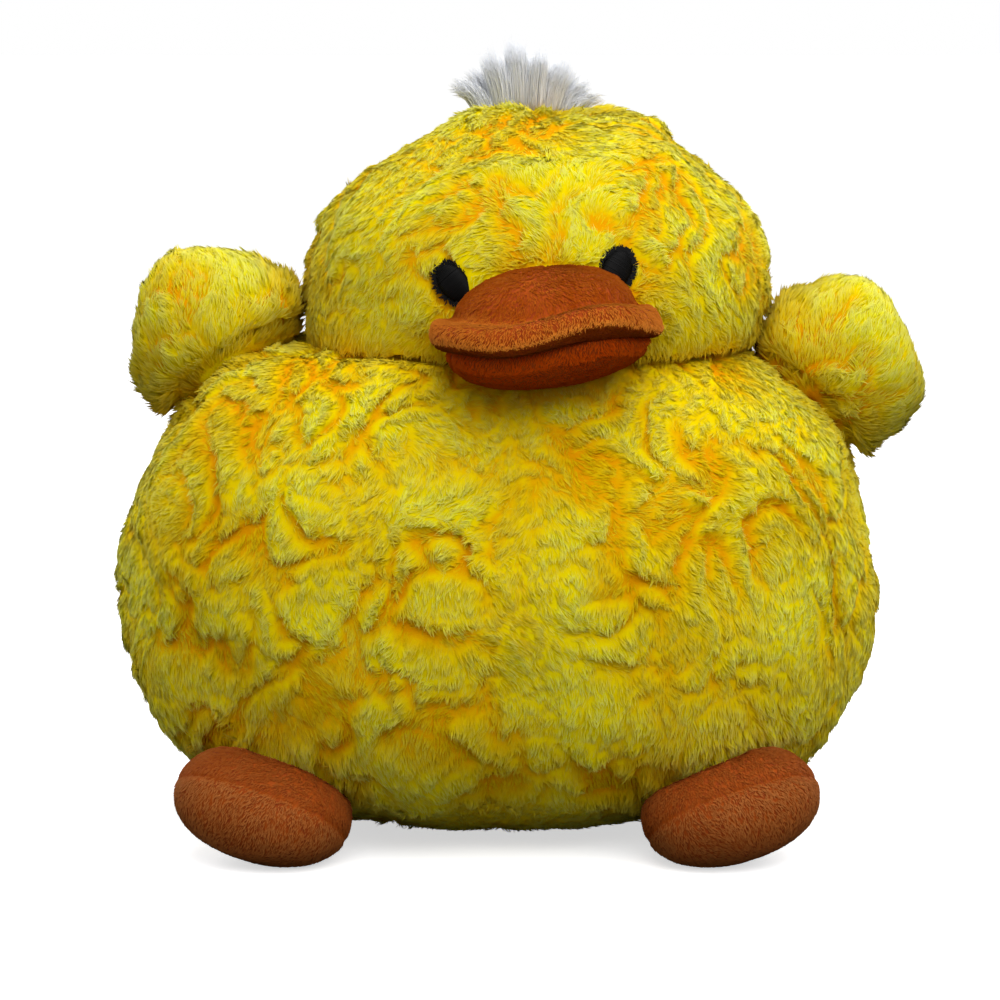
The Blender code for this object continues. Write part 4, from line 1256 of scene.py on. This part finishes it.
def build_stage():
    scene = bpy.context.scene
    bm = bmesh.new()
    bmesh.ops.create_grid(bm, x_segments=1, y_segments=1, size=40)
    floor = bpy.data.meshes.new("sweep")
    bm.to_mesh(floor)
    bm.free()
    new_object("sweep", floor, floor_material())

    world = bpy.data.worlds.new("studio")
    world.use_nodes = True
    tree = world.node_tree
    light = tree.nodes["Background"]
    light.inputs["Color"].default_value = (1, 1, 1, 1)
    light.inputs["Strength"].default_value = WORLD_LIGHT
    seen = add_node(tree, "ShaderNodeBackground", links={"Color": (1, 1, 1, 1), "Strength": 1.0})
    path = add_node(tree, "ShaderNodeLightPath")
    rays = path.outputs["Is Camera Ray"]
    for kind in ("Is Glossy Ray", "Is Transmission Ray"):
        most = add_node(tree, "ShaderNodeMath", {"operation": "MAXIMUM"}, {0: rays, 1: path.outputs[kind]})
        rays = most.outputs[0]
    mixed = add_node(tree, "ShaderNodeMixShader", links={0: rays, 1: light.outputs[0], 2: seen.outputs[0]})
    tree.links.new(mixed.outputs[0], tree.nodes["World Output"].inputs["Surface"])
    scene.world = world

    for name, energy, size, place in LAMPS:
        lamp = bpy.data.lights.new(name, "AREA")
        lamp.energy = energy
        lamp.size = size
        obj = bpy.data.objects.new(name, lamp)
        obj.location = place
        aim = LAMP_AIM - Vector(place)
        obj.rotation_euler = aim.to_track_quat("-Z", "Y").to_euler()
        scene.collection.objects.link(obj)

    elevation = math.radians(CAMERA_ELEVATION_DEG)
    back = Vector((0, -math.cos(elevation), math.sin(elevation)))
    up = Vector((0, math.sin(elevation), math.cos(elevation)))
    right = Vector((1, 0, 0))
    half = IMAGE_SIDE / 2
    aim = right * ((half - GROUND_PIXEL[0]) * PIXEL) + up * ((GROUND_PIXEL[1] - half) * PIXEL)
    camera = bpy.data.cameras.new("camera")
    camera.sensor_width = SENSOR
    camera.lens = SENSOR * CAMERA_DISTANCE / (IMAGE_SIDE * PIXEL)
    obj = bpy.data.objects.new("camera", camera)
    turn = Matrix((right, up, back)).transposed().to_4x4()
    obj.matrix_world = Matrix.Translation(aim + back * CAMERA_DISTANCE) @ turn
    scene.collection.objects.link(obj)
    scene.camera = obj
    scene.view_settings.view_transform = "Standard"


class DUCK_OT_stage(bpy.types.Operator):
    """Makes the floor, the light and the camera"""

    bl_idname = "duck.stage"
    bl_label = "Stage"

    def execute(self, context):
        build_stage()
        return {"FINISHED"}


class DUCK_OT_body(bpy.types.Operator):
    """Makes the body's stuffed cloth and its pile"""

    bl_idname = "duck.body"
    bl_label = "Body"

    def execute(self, context):
        build_body(context.scene.duck_sizes, context.scene.duck_colours)
        return {"FINISHED"}


class DUCK_OT_bill(bpy.types.Operator):
    """Makes the upper and the lower bill with their nap"""

    bl_idname = "duck.bill"
    bl_label = "Bill"

    def execute(self, context):
        build_bill(context.scene.duck_sizes, context.scene.duck_colours)
        return {"FINISHED"}


class DUCK_OT_head(bpy.types.Operator):
    """Makes the head's stuffed cloth and its pile"""

    bl_idname = "duck.head"
    bl_label = "Head"

    def execute(self, context):
        build_head(context.scene.duck_sizes, context.scene.duck_colours)
        return {"FINISHED"}


class DUCK_OT_wings(bpy.types.Operator):
    """Makes both wings with their pile"""

    bl_idname = "duck.wings"
    bl_label = "Wings"

    def execute(self, context):
        build_wings(context.scene.duck_sizes, context.scene.duck_colours)
        return {"FINISHED"}


class DUCK_OT_feet(bpy.types.Operator):
    """Makes both feet with their nap"""

    bl_idname = "duck.feet"
    bl_label = "Feet"

    def execute(self, context):
        build_feet(context.scene.duck_sizes, context.scene.duck_colours)
        return {"FINISHED"}


class DUCK_OT_eyes(bpy.types.Operator):
    """Makes both eyes of satin stitches"""

    bl_idname = "duck.eyes"
    bl_label = "Eyes"

    def execute(self, context):
        build_eyes(context.scene.duck_sizes, context.scene.duck_colours)
        return {"FINISHED"}


class DUCK_OT_crest(bpy.types.Operator):
    """Makes the white tuft on the crown"""

    bl_idname = "duck.crest"
    bl_label = "Tuft"

    def execute(self, context):
        build_crest(context.scene.duck_sizes, context.scene.duck_colours)
        return {"FINISHED"}


OPERATORS = (
    DUCK_OT_stage,
    DUCK_OT_body,
    DUCK_OT_bill,
    DUCK_OT_head,
    DUCK_OT_wings,
    DUCK_OT_feet,
    DUCK_OT_eyes,
    DUCK_OT_crest,
)


class DUCK_PT_pieces(bpy.types.Panel):
    """Lists the duck's pieces and their sizes and colours"""

    bl_idname = "DUCK_PT_pieces"
    bl_label = "Plush duck"
    bl_space_type = "VIEW_3D"
    bl_region_type = "UI"
    bl_category = "Plush duck"

    def draw(self, context):
        for operator in OPERATORS:
            self.layout.operator(operator.bl_idname)
        for group in (context.scene.duck_sizes, context.scene.duck_colours):
            for name in group.__annotations__:
                self.layout.prop(group, name)


CLASSES = (DuckSizes, DuckColours, *OPERATORS, DUCK_PT_pieces)


def register():
    for cls in CLASSES:
        bpy.utils.register_class(cls)
    bpy.types.Scene.duck_sizes = bpy.props.PointerProperty(type=DuckSizes)
    bpy.types.Scene.duck_colours = bpy.props.PointerProperty(type=DuckColours)


def unregister():
    del bpy.types.Scene.duck_colours
    del bpy.types.Scene.duck_sizes
    for cls in reversed(CLASSES):
        bpy.utils.unregister_class(cls)


def main():
    register()
    bpy.ops.duck.stage()
    bpy.ops.duck.bill()
    bpy.ops.duck.head()
    bpy.ops.duck.body()
    bpy.ops.duck.wings()
    bpy.ops.duck.feet()
    bpy.ops.duck.eyes()
    bpy.ops.duck.crest()


if __name__ == "__main__":
    main()
